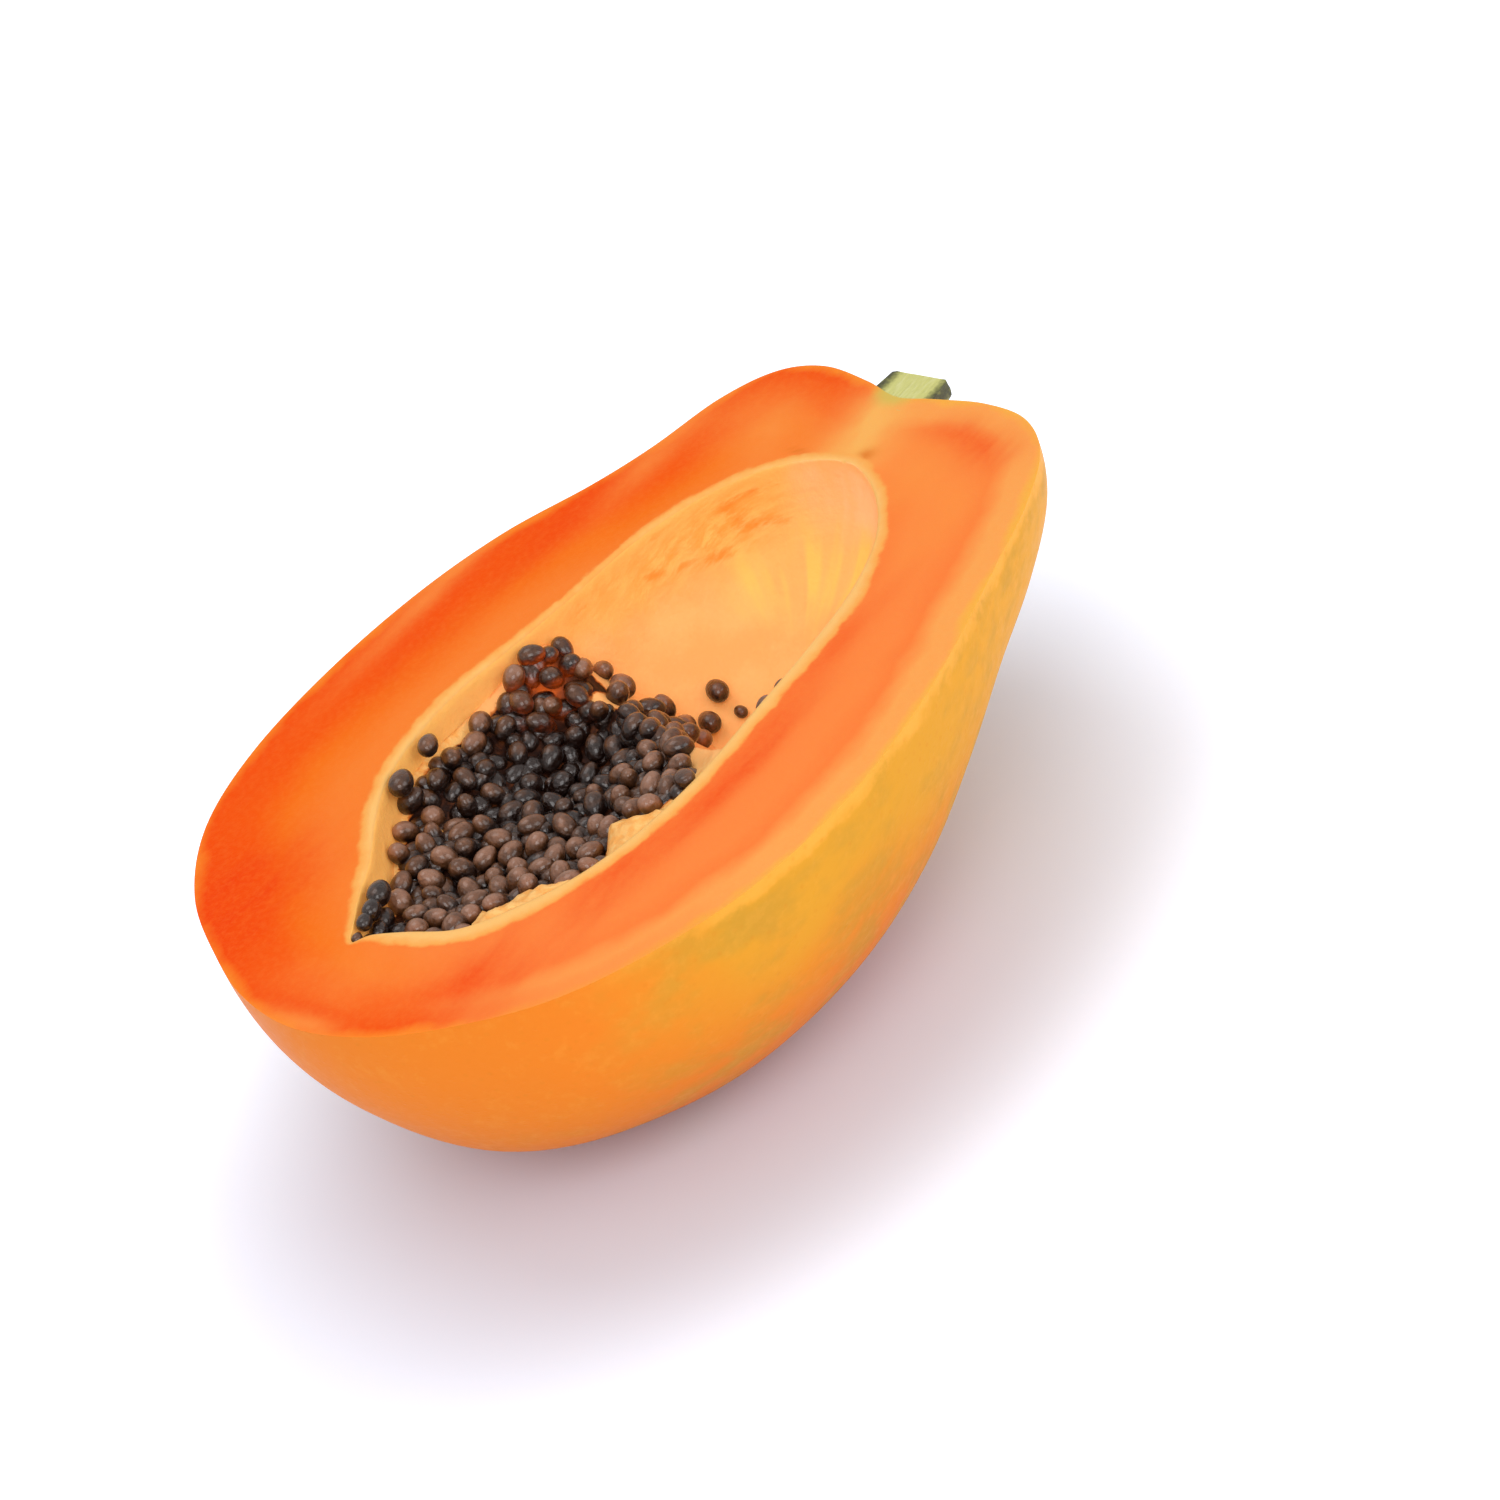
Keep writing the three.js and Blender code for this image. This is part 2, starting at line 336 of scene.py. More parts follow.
@dataclass(frozen=True)
class Form:
    """A skin of elliptic sections that hang from an outline in the cut face."""

    rim: Outline
    skin_step: float = 0.004  # share of the way over which the slope is measured
    share_tolerance: float = 1e-5  # how closely a share along is found

    def depth_ratio(self, x: float) -> float:
        """Depth of the section at X over its half width."""
        return 1.0

    def relief(self, x: float, around: float) -> float:
        """Height of the relief at X and at an angle round from the far rim."""
        return 0.0

    def point(self, along: float, around: float) -> Vector:
        """A place on the skin.

        Args:
            along: 0 at the blossom end, 1 at the stem end.
            around: Angle round from the far rim, downwards.

        Returns:
            The place.
        """
        middle, across = self.rim.crossing(along)
        half_width = across.length
        x = middle.x + across.x * math.cos(around)
        grown = 1 + self.relief(x, around) / max(half_width, 1.0) if half_width > 0 else 1.0
        place = middle + across * math.cos(around) * grown
        place.z = -half_width * self.depth_ratio(x) * math.sin(around) * grown
        return place

    def offset(self, along: float, around: float, distance: float) -> Vector:
        """A place on the skin, moved out along its normal.

        Args:
            along: 0 at the blossom end, 1 at the stem end.
            around: Angle round from the far rim, downwards.
            distance: How far out, in millimetres, and in where it is negative.

        Returns:
            The place.
        """
        place = self.point(along, around)
        if along in (0.0, 1.0):
            return place + Vector((distance if along else -distance, 0, 0))
        step = self.skin_step
        middle = min(max(along, 2 * step), 1 - 2 * step)
        lengthwise = self.point(middle + step, around) - self.point(middle - step, around)
        crosswise = self.point(middle, around + step) - self.point(middle, around - step)
        return place + lengthwise.cross(crosswise).normalized() * distance

    def along_at(self, x: float) -> float:
        """Where the skin's middle line reaches X.

        Args:
            x: Millimetres from the blossom tip.

        Returns:
            Share of the way along the skin.
        """
        low, high = 0.0, 1.0
        while high - low > self.share_tolerance:
            share = (low + high) / 2
            if self.rim.crossing(share)[0].x < x:
                low = share
            else:
                high = share
        return low


@dataclass(frozen=True)
class FruitForm(Form):
    """The outside: full at the belly, flatter at the stem, with soft lobes that end at the rim."""

    tip_depth: float = 1.12
    belly_depth: float = 1.04
    stem_depth: float = 0.82
    tip_end: float = 50.0
    belly_end: float = 95.0
    stem_base: float = 190.0
    lobes: int = 5
    lobe_height: float = 1.4

    def depth_ratio(self, x: float) -> float:
        """Depth of the section at X over its half width."""
        tip_to_belly = lerp(self.tip_depth, self.belly_depth, smoothstep(x, 0, self.tip_end))
        return lerp(tip_to_belly, self.stem_depth, smoothstep(x, self.belly_end, self.stem_base))

    def relief(self, x: float, around: float) -> float:
        """Soft lobes, which grow towards the stem."""
        fade = math.sin(around) ** 2 * smoothstep(x, self.belly_end, self.stem_base)
        return self.lobe_height * fade * math.cos(self.lobes * around + math.pi / 2)


@dataclass(frozen=True)
class HollowForm(Form):
    """The seed cavity, with knobbly ridges along the wall where it holds no seeds."""

    depth: float = 1.08
    ridges: tuple[Point, ...] = (  # angle round from the far rim, and height
        (math.radians(20), 1.1), (math.radians(92), 0.2), (math.radians(160), 0.6))
    ridge_width: float = math.radians(9)
    ridge_start: Point = (100.0, 115.0)
    ridge_stop: Point = (142.0, 162.0)
    knob_pitch: float = 8.5
    ridge_share: float = 0.55
    knob_share: float = 0.45
    fibre_height: float = 0.35
    fibre_length: float = 9.0
    fibre_round: float = 3.0  # how fine the fibres are round the wall
    stations: int = 90

    def depth_ratio(self, x: float) -> float:
        """Depth of the section at X over its half width."""
        return self.depth

    def ridge(self, x: float, around: float) -> float:
        """Height of the knobbly ridges.

        Args:
            x: Millimetres from the blossom tip.
            around: Angle round from the far rim.

        Returns:
            The height in millimetres.
        """
        bare = smoothstep(x, *self.ridge_start) - smoothstep(x, *self.ridge_stop)
        knob = self.ridge_share + self.knob_share * math.sin(FULL_TURN * x / self.knob_pitch)
        below_rim = math.acos(min(max(math.cos(around), -1.0), 1.0))
        return bare * knob * sum(height * math.exp(-(((below_rim - angle) / self.ridge_width) ** 2))
                                 for angle, height in self.ridges)

    def relief(self, x: float, around: float) -> float:
        """Ridges into the cavity, and the fibrous unevenness of the wall between them.

        Args:
            x: Millimetres from the blossom tip.
            around: Angle round from the far rim.

        Returns:
            The height in millimetres, out from the cavity.
        """
        round_place = self.fibre_round * math.sin(around)
        fibre = noise.noise(Vector((x / self.fibre_length, round_place, math.cos(around))))
        fade = math.sin(around) ** 2
        return self.fibre_height * fibre * fade - self.ridge(x, around)

    @cached_property
    def sections(self) -> np.ndarray:
        """The cavity's cross sections.

        Returns:
            Middle X and Y, way to the far side X and Y, and half width, one section a row.
        """
        rows = []
        for i in range(1, self.stations):
            middle, across = self.rim.crossing(i / self.stations)
            rows.append((middle.x, middle.y, across.x, across.y, math.hypot(across.x, across.y)))
        return np.array(rows)

    def holds(self, place: Vector, margin: float) -> bool:
        """Whether a place keeps clear of the smooth wall.

        Args:
            place: The place.
            margin: How far from the wall it has to be, in millimetres.

        Returns:
            True where it does.
        """
        middle_x, middle_y, across_x, across_y, radius = self.sections.T
        away = np.abs(middle_x + (across_x / across_y) * (place.y - middle_y) - place.x)
        nearest = int(np.argmin(away))
        sideways = (place.y - middle_y[nearest]) / radius[nearest]
        down = place.z / (radius[nearest] * self.depth)
        return math.hypot(sideways, down) < 1 - margin / radius[nearest]


FRUIT_RIM = Outline(
    start=(0, 0),
    far=((3, 15.5), (10, 30), (22, 47.5), (39, 60.5), (60, 66.8), (85, 68), (110, 65.3),
         (131, 59.3), (149, 50), (163, 44.5), (180, 40), (191, 33), (195, 23), (193, 10)),
    end=(190, 0),
    near=((2.5, -15.5), (9.5, -30), (22, -46), (39, -57.5), (60, -65.7), (85, -68.5), (110, -66.2),
          (131, -61.2), (150, -55.5), (167, -50.3), (182, -43), (190.5, -33), (192.7, -21), (191.3, -9)),
)
CAVITY_LIP = Outline(
    start=(22.5, 5),
    far=((27, 8.3), (33, 12.5), (42, 17.5), (52, 25), (62, 31), (74, 34), (88, 34.6),
         (104, 32), (120, 29.8), (136, 28), (150, 23.5), (160, 17), (167, 8.5)),
    end=(169.5, -2),
    near=((25.5, 2.4), (28.5, -4), (32.5, -14), (41, -21.5), (52, -28), (66, -32), (82, -33.4),
          (100, -32.6), (118, -31.6), (135, -29.6), (149, -25), (159, -18.5), (166.5, -10)),
)
CREAM_EDGE = Outline(
    start=(22, 5),
    far=((26, 9.4), (32, 13.8), (42, 20.4), (50, 27.4), (60, 33), (70, 36), (80, 37), (92, 36.5),
         (105, 33.5), (120, 31), (140, 28.8), (151, 24.8), (161, 18.6), (168.8, 9)),
    end=(171.8, -2),
    near=((24, 1.5), (26, -10), (30, -18), (35, -23), (42, -27.5), (50, -31), (60, -34.5), (70, -36.5),
          (80, -37.3), (92, -37), (105, -36.2), (130, -34.6), (141, -31.5), (151, -26.8), (160.8, -20),
          (168.6, -11)),
)


# ---- Recipes of the finishes ----


@dataclass(frozen=True)
class Value:
    """A number that varies over a surface, on which Python's arithmetic works."""

    recipe: "Recipe"
    socket: bpy.types.NodeSocket

    def _math(self, operation: str, *terms: Any) -> "Value":
        """One Math node on some terms."""
        node = self.recipe.node("ShaderNodeMath", {"operation": operation}, dict(enumerate(terms)))
        return Value(self.recipe, node.outputs[0])

    def __add__(self, other: Any) -> "Value":
        """This plus another."""
        return self._math("ADD", self, other)

    __radd__ = __add__

    def __sub__(self, other: Any) -> "Value":
        """This less another."""
        return self._math("SUBTRACT", self, other)

    def __rsub__(self, other: Any) -> "Value":
        """Another less this."""
        return self._math("SUBTRACT", other, self)

    def __mul__(self, other: Any) -> "Value":
        """This times another."""
        return self._math("MULTIPLY", self, other)

    __rmul__ = __mul__

    def __truediv__(self, other: Any) -> "Value":
        """This over another."""
        return self._math("DIVIDE", self, other)

    def __neg__(self) -> "Value":
        """This with its sign turned."""
        return self._math("MULTIPLY", self, -1.0)

    def angle_from(self, other: "Value") -> "Value":
        """The angle whose rise is this and whose run is the other."""
        return self._math("ARCTAN2", self, other)

    def rise(self, start: float, stop: float) -> "Value":
        """A soft rise from 0 where this is start to 1 where it is stop."""
        node = self.recipe.node(
            "ShaderNodeMapRange", {"interpolation_type": "SMOOTHSTEP"},
            {"Value": self, "From Min": start, "From Max": stop, "To Min": 0.0, "To Max": 1.0})
        return Value(self.recipe, node.outputs[0])

    def ramp(self, length: float, *stops: tuple[float, Colour]) -> bpy.types.NodeSocket:
        """Colours along this number.

        Args:
            length: The number at the far end of the ramp.
            *stops: Numbers and the colours there.

        Returns:
            The colour.
        """
        shares = [(number / length, colour) for number, colour in stops]
        node = self.recipe.node("ShaderNodeValToRGB", {"stops": shares}, {0: self / length})
        return node.outputs[0]


class Recipe:
    """The nodes of one finish, with helpers that count in millimetres on the fruit."""

    def __init__(self, name: str, bench: Bench) -> None:
        """Start an empty material.

        Args:
            name: Its name.
            bench: Where the fruit lies.
        """
        self.material = bpy.data.materials.new(name)
        self.material.use_nodes = True
        self.tree = self.material.node_tree
        self.tree.nodes.clear()
        coordinates = self.node("ShaderNodeTexCoord").outputs["Object"]
        from_tip = self.node("ShaderNodeVectorMath", {"operation": "SUBTRACT"},
                             {0: coordinates, 1: bench.origin}).outputs[0]
        self.place = self.node("ShaderNodeVectorMath", {"operation": "SCALE"},
                               {0: from_tip, "Scale": 1 / MM}).outputs[0]
        parts = self.node("ShaderNodeSeparateXYZ", sockets={0: self.place}).outputs
        self.x, self.y, self.z = (Value(self, part) for part in parts)

    def node(self, kind: str, settings: dict[str, Any] | None = None,
             sockets: dict[Any, Any] | None = None) -> bpy.types.Node:
        """Add one node.

        Args:
            kind: The node's type.
            settings: Its own settings, set first. A ramp's stops go under "stops".
            sockets: Numbers, colours, Values or sockets for its inputs, by name or place.

        Returns:
            The node.
        """
        made = self.tree.nodes.new(kind)
        for name, setting in (settings or {}).items():
            if name == "stops":
                elements = made.color_ramp.elements
                while len(elements) < len(setting):
                    elements.new(1.0)
                for element, (share, colour) in zip(elements, setting):
                    element.position = share
                    element.color = colour
            else:
                setattr(made, name, setting)
        for key, term in (sockets or {}).items():
            if isinstance(term, Value):
                term = term.socket
            if isinstance(term, bpy.types.NodeSocket):
                self.tree.links.new(term, made.inputs[key])
            else:
                made.inputs[key].default_value = term
        return made

    def field(self, name: str) -> Value:
        """A field that the piece keeps at its corner points."""
        node = self.node("ShaderNodeAttribute", {"attribute_name": name})
        return Value(self, node.outputs["Fac"])

    def stretched(self, x: float, y: float, z: float) -> bpy.types.NodeSocket:
        """Places on the fruit, with each axis counted in its own length."""
        node = self.node("ShaderNodeVectorMath", {"operation": "DIVIDE"}, {0: self.place, 1: (x, y, z)})
        return node.outputs[0]

    def joined(self, x: Any, y: Any, z: Any) -> bpy.types.NodeSocket:
        """Three values as one place."""
        return self.node("ShaderNodeCombineXYZ", sockets={0: x, 1: y, 2: z}).outputs[0]

    def length(self, x: Any, y: Any, z: Any) -> Value:
        """Length of the way with these three parts."""
        node = self.node("ShaderNodeVectorMath", {"operation": "LENGTH"}, {0: self.joined(x, y, z)})
        return Value(self, node.outputs["Value"])

    def cloud(self, size: float | bpy.types.NodeSocket, detail: float = 3.0,
              roughness: float = 0.5) -> Value:
        """Noise about zero, from -0.5 to 0.5.

        Args:
            size: Size of its blots in millimetres, or the place that it reads.
            detail: How many finer layers it has.
            roughness: How strong those are.

        Returns:
            The noise.
        """
        place = self.stretched(size, size, size) if isinstance(size, float) else size
        node = self.node("ShaderNodeTexNoise", {},
                         {"Vector": place, "Scale": 1.0, "Detail": detail, "Roughness": roughness})
        return Value(self, node.outputs[0]) - 0.5

    def cells(self, size: float | bpy.types.NodeSocket) -> Value:
        """Distance to the nearest of scattered points.

        Args:
            size: How far apart they lie in millimetres, or the place that it reads.

        Returns:
            The distance, 0 at each point.
        """
        place = self.stretched(size, size, size) if isinstance(size, float) else size
        node = self.node("ShaderNodeTexVoronoi", {}, {"Vector": place, "Scale": 1.0})
        return Value(self, node.outputs[0])

    def mixed(self, share: Any, first: Any, second: Any) -> bpy.types.NodeSocket:
        """Two colours mixed.

        Args:
            share: Share of the second.
            first: A colour.
            second: Another colour.

        Returns:
            The mix.
        """
        node = self.node("ShaderNodeMix", {"data_type": "RGBA", "clamp_factor": True},
                         {0: share, 6: first, 7: second})
        return node.outputs[2]

    def raised(self, height: Value, millimetres: float, strength: float = 1.0) -> bpy.types.NodeSocket:
        """A bumped normal.

        Args:
            height: The bump's height, about 0 to 1.
            millimetres: What a height of 1 stands for.
            strength: How much of it shows.

        Returns:
            The normal.
        """
        node = self.node("ShaderNodeBump", {},
                         {"Strength": strength, "Distance": millimetres * MM, "Height": height})
        return node.outputs[0]

    def surface(self, **sockets: Any) -> bpy.types.Material:
        """Close the recipe with its shader.

        Args:
            **sockets: The shader's inputs, with _ for spaces.

        Returns:
            The material.
        """
        named = {name.replace("_", " "): term for name, term in sockets.items()}
        shader = self.node("ShaderNodeBsdfPrincipled", {}, named)
        self.node("ShaderNodeOutputMaterial", {}, {"Surface": shader.outputs[0]})
        return self.material


@dataclass(frozen=True)
class FleshFinish:
    """Ripe flesh on the cut: deeper on the far side, paler on the near side, partly in its own colour and
    partly as a painted sheen of the moist flesh.
    """

    bench: Bench
    far: tuple[tuple[float, Colour], ...] = (  # colours by millimetres in from the skin
        (0.0, tint(252, 134, 36)), (2.5, tint(246, 80, 0)), (11.0, tint(248, 88, 0)),
        (18.0, tint(250, 116, 18)), (27.0, tint(252, 130, 46)))
    near: tuple[tuple[float, Colour], ...] = (
        (0.0, tint(250, 180, 72)), (2.0, tint(253, 166, 84)), (5.5, tint(253, 166, 84)),
        (10.0, tint(253, 128, 58)), (15.0, tint(254, 136, 64)), (22.0, tint(254, 136, 64)),
        (28.0, tint(252, 122, 54)))
    band_reach: float = 40.0
    blunt: Colour = tint(253, 128, 58)
    red: Colour = tint(243, 62, 0)
    pale: Colour = tint(254, 148, 66)
    cream: Colour = tint(253, 194, 114)
    cream_edge: Colour = tint(252, 172, 84)
    stain: Colour = tint(252, 180, 92)
    green: Colour = tint(214, 190, 92)
    dot: Colour = tint(226, 116, 30)
    cloud_size: float = 13.0
    streak_size: Size = (16.0, 5.0, 5.0)
    grain_size: float = 1.4
    near_y: Point = (20.0, -14.0)  # between which the near side's colours come in
    near_x: Point = (8.0, 40.0)
    near_slant: float = 0.3
    blunt_x: Point = (70.0, 20.0)  # between which the near rim loses its pale band
    blunt_band: Point = (9.0, 3.0)
    cream_fade: Point = (-2.6, 0.0)  # distances from the cream's edge, inwards negative
    cream_rim: Point = (0.7, -0.5)
    stem_base: Point = (191.5, 1.0)
    green_reach: Point = (6.5, 2.0)

    def material(self) -> bpy.types.Material:
        """Mix the flesh.

        Returns:
            Its material.
        """
        r = Recipe("flesh", self.bench)
        cloud = r.cloud(self.cloud_size)
        streak = r.cloud(r.stretched(*self.streak_size))
        grain = r.cloud(self.grain_size, 6.0, 0.65)
        peel = r.field("peel") + cloud * 5.0 + streak * 3.0
        cream = r.field("cream") + r.cloud(5.0, 4.0) * 2.6 + r.cloud(1.6) * 0.9
        far = peel.ramp(self.band_reach, *self.far)
        near = peel.ramp(self.band_reach, *self.near)
        slanted = r.x - r.y * self.near_slant + cloud * 14.0
        side = (r.y + cloud * 14.0).rise(*self.near_y) * slanted.rise(*self.near_x)
        blunt = (r.x + cloud * 20.0).rise(*self.blunt_x) * peel.rise(*self.blunt_band) * 0.6
        near = r.mixed(blunt, near, self.blunt)
        # The near side's paler colours are partly the flesh's own and partly a painted sheen.
        colour = r.mixed(side, far, near)
        # Pale patches: partly lighter flesh, partly a painted sheen.
        colour = r.mixed(r.field("pale") * (0.85 + cloud * 1.2), colour, self.pale)
        colour = r.mixed(r.field("red") * (0.85 + streak * 1.8), colour, self.red)
        colour = r.mixed(grain * 0.6 + 0.04, colour, self.pale)
        colour = r.mixed(r.field("stain") * (0.9 + streak * 1.2), colour, self.stain)
        from_stem = r.length(r.x - self.stem_base[0], r.y - self.stem_base[1], 0.0)
        colour = r.mixed((from_stem + cloud * 4.0).rise(*self.green_reach) * 0.85, colour, self.green)
        colour = r.mixed(r.field("dot"), colour, self.dot)
        lining = r.mixed(cream.rise(*self.cream_fade), self.cream, self.cream_edge)
        colour = r.mixed(cream.rise(*self.cream_rim), colour, lining)
        height = grain * 0.5 + r.cloud(0.45, 3.0) * 0.35 + streak * 0.6
        return r.surface(
            Base_Color=colour, Roughness=0.4 + grain * 0.2 + cloud * 0.12,
            Normal=r.raised(height, 0.25, 0.6), Specular_IOR_Level=0.04,
            Subsurface_Weight=0.08, Subsurface_Scale=0.002, Subsurface_Radius=(1.0, 0.4, 0.15))


@dataclass(frozen=True)
class SkinFinish:
    """Waxy skin: yellow-ochre under the cut, orange below and at the blossom end, finely speckled, with
    painted shade darker at the bottom and in part at the tip.
    """

    bench: Bench
    ochre: Colour = tint(214, 148, 38)
    yellow: Colour = tint(222, 152, 36)
    orange: Colour = tint(224, 122, 30)
    # Painted shade on the underside.
    underside_shade: Colour = tint(218, 96, 8)
    olive: Colour = tint(188, 138, 44)
    edge: Colour = tint(236, 164, 62)
    speck: Colour = tint(206, 120, 26)
    cloud_size: float = 26.0
    blot_size: Size = (12.0, 7.0, 7.0)
    fine_size: float = 2.2
    grain_size: float = 0.8
    speck_pitch: float = 2.6
    pore_pitch: float = 1.5
    orange_depth: Point = (10.0, 40.0)  # below the cut, between which it turns orange
    underside_shade_depth: Point = (44.0, 66.0)
    yellow_x: Point = (96.0, 145.0)
    tip_x: Point = (62.0, 22.0)
    mottled_x: Point = (10.0, 60.0)
    edge_depth: Point = (3.6, 0.2)
    edge_x: Point = (20.0, 80.0)

    def material(self) -> bpy.types.Material:
        """Mix the skin.

        Returns:
            Its material.
        """
        r = Recipe("skin", self.bench)
        cloud = r.cloud(self.cloud_size)
        blot = r.cloud(r.stretched(*self.blot_size))
        fine = r.cloud(self.fine_size, 6.0, 0.6)
        depth = -r.z
        along = r.x + cloud * 30.0
        sunk = depth + cloud * 26.0 + blot * 8.0
        colour = r.mixed(sunk.rise(*self.orange_depth), self.ochre, self.orange)
        colour = r.mixed((r.x + cloud * 40.0).rise(*self.yellow_x), colour, self.yellow)
        # Towards the blossom tip the orange is partly its own colour and partly painted shade.
        colour = r.mixed((along + blot * 10.0).rise(*self.tip_x), colour, self.orange)
        # Painted shade: darker orange towards the bottom.
        colour = r.mixed(sunk.rise(*self.underside_shade_depth), colour, self.underside_shade)
        mottled = (blot + cloud * 0.7 + fine * 0.12).rise(-0.1, 0.28) * along.rise(*self.mottled_x)
        colour = r.mixed(mottled * 0.66, colour, self.olive)
        colour = r.mixed((blot * 0.6 - fine).rise(0.0, 0.3) * 0.16, colour, self.edge)
        edge = (depth + blot * 8.0 + fine * 3.0).rise(*self.edge_depth) * along.rise(*self.edge_x)
        colour = r.mixed(edge * 0.9, colour, self.edge)
        specks = r.cells(self.speck_pitch).rise(0.28, 0.1) * (0.16 + fine * 0.7)
        colour = r.mixed(specks, colour, self.speck)
        height = r.cloud(self.grain_size, 4.0) * 0.5 + r.cells(self.pore_pitch).rise(0.4, 0.0) * 0.5
        return r.surface(
            Base_Color=colour, Roughness=0.45 + fine * 0.25 + cloud * 0.1,
            Normal=r.raised(height, 0.12, 0.5), Specular_IOR_Level=0.05,
            Subsurface_Weight=0.04, Subsurface_Scale=0.002, Subsurface_Radius=(1.0, 0.4, 0.15))


@dataclass(frozen=True)
class LiningFinish:
    """Pale lining of the cavity, orange and torn along the ridges, streaked at the stem end, with a painted
    glow that lifts its shade.
    """

    bench: Bench
    peach: Colour = tint(255, 180, 110)
    pale: Colour = tint(255, 192, 122)
    rosy: Colour = tint(255, 204, 156)
    yellow: Colour = tint(255, 210, 112)
    warm: Colour = tint(255, 182, 98)
    orange: Colour = tint(247, 162, 74)
    brown: Colour = tint(230, 140, 50)
    cream: Colour = tint(255, 192, 104)
    # Colour of the painted glow.
    painted_glow_colour: Colour = tint(255, 150, 60)
    cloud_size: float = 12.0
    torn_size: Size = (5.0, 3.0, 3.0)
    fine_size: float = 1.1
    slant_size: Point = (7.0, 1.7)  # along and across the torn strands
    warm_depth: Point = (14.0, 6.0)
    low_depth: Point = (8.0, 18.0)
    rosy_y: Point = (14.0, 6.0)
    lip_depth: Point = (3.4, 0.6)
    blossom_lip_depth: Point = (14.0, 2.0)
    blossom_lip_x: Point = (100.0, 70.0)
    throat: Point = (142.0, 156.0)
    throat_middle: Point = (138.0, -1.0)  # from here its streaks spread
    streaks_round: float = 3.4  # for a radian
    streak_length: float = 26.0
    glow: float = 0.17  # painted glow, standing in for light that seeps through the flesh behind

    def material(self) -> bpy.types.Material:
        """Mix the lining.

        Returns:
            Its material.
        """
        r = Recipe("lining", self.bench)
        cloud = r.cloud(self.cloud_size)
        torn = r.cloud(r.stretched(*self.torn_size), 5.0, 0.62)
        fine = r.cloud(self.fine_size, 5.0, 0.6)
        lengthwise = (r.x + r.z * 1.4) / self.slant_size[0]
        crosswise = (r.z - r.x * 0.35) / self.slant_size[1]
        slant = r.cloud(r.joined(lengthwise, crosswise, 0.0), 4.0, 0.6)
        depth = -r.z
        bearing = (r.y - self.throat_middle[1]).angle_from(r.x - self.throat_middle[0])
        streaks = r.cloud(r.joined(bearing * self.streaks_round, depth / self.streak_length, 0.0), 2.0)
        colour = r.mixed((cloud + fine * 0.3).rise(-0.16, 0.2), self.peach, self.pale)
        colour = r.mixed((depth + cloud * 12.0).rise(*self.warm_depth) * 0.8, colour, self.warm)
        end = (r.x + cloud * 12.0).rise(*self.throat)
        low = (depth + cloud * 10.0).rise(*self.low_depth)
        rosy = (1.0 - low * 0.8) * (r.y + cloud * 8.0).rise(*self.rosy_y) * (0.8 + streaks * 2.0)
        colour = r.mixed(end * rosy, colour, self.rosy)
        colour = r.mixed(end * (0.1 + low * 0.8) * (0.3 + streaks.rise(-0.08, 0.14)), colour, self.yellow)
        lip = (depth + torn * 3.0).rise(*self.lip_depth) * (1.0 - end * 0.6)
        blossom_end = (r.x + cloud * 30.0).rise(*self.blossom_lip_x)
        lip = lip + (depth + torn * 6.0).rise(*self.blossom_lip_depth) * blossom_end
        colour = r.mixed(lip * 0.9, colour, self.cream)
        wash = r.field("wash")
        scar = r.field("scar")
        colour = r.mixed(wash * (0.7 + slant * 2.6), colour, self.orange)
        colour = r.mixed(wash * (slant + fine * 0.2).rise(0.06, -0.12) * (1.0 - scar), colour, self.cream)
        scar = scar * (scar * 0.7 + slant * 2.0 + torn + fine * 0.4).rise(0.2, 1.0)
        colour = r.mixed(scar, colour, self.brown)
        height = torn * 0.9 + fine * 0.5 + slant * wash * 1.2 + streaks * end * 0.8 - scar
        return r.surface(
            Base_Color=colour, Roughness=0.45 + fine * 0.25,
            Normal=r.raised(height, 0.6, 0.6), Specular_IOR_Level=0.06,
            Emission_Color=self.painted_glow_colour, Emission_Strength=self.glow,
            Subsurface_Weight=0.15, Subsurface_Scale=0.003, Subsurface_Radius=(1.0, 0.5, 0.25))


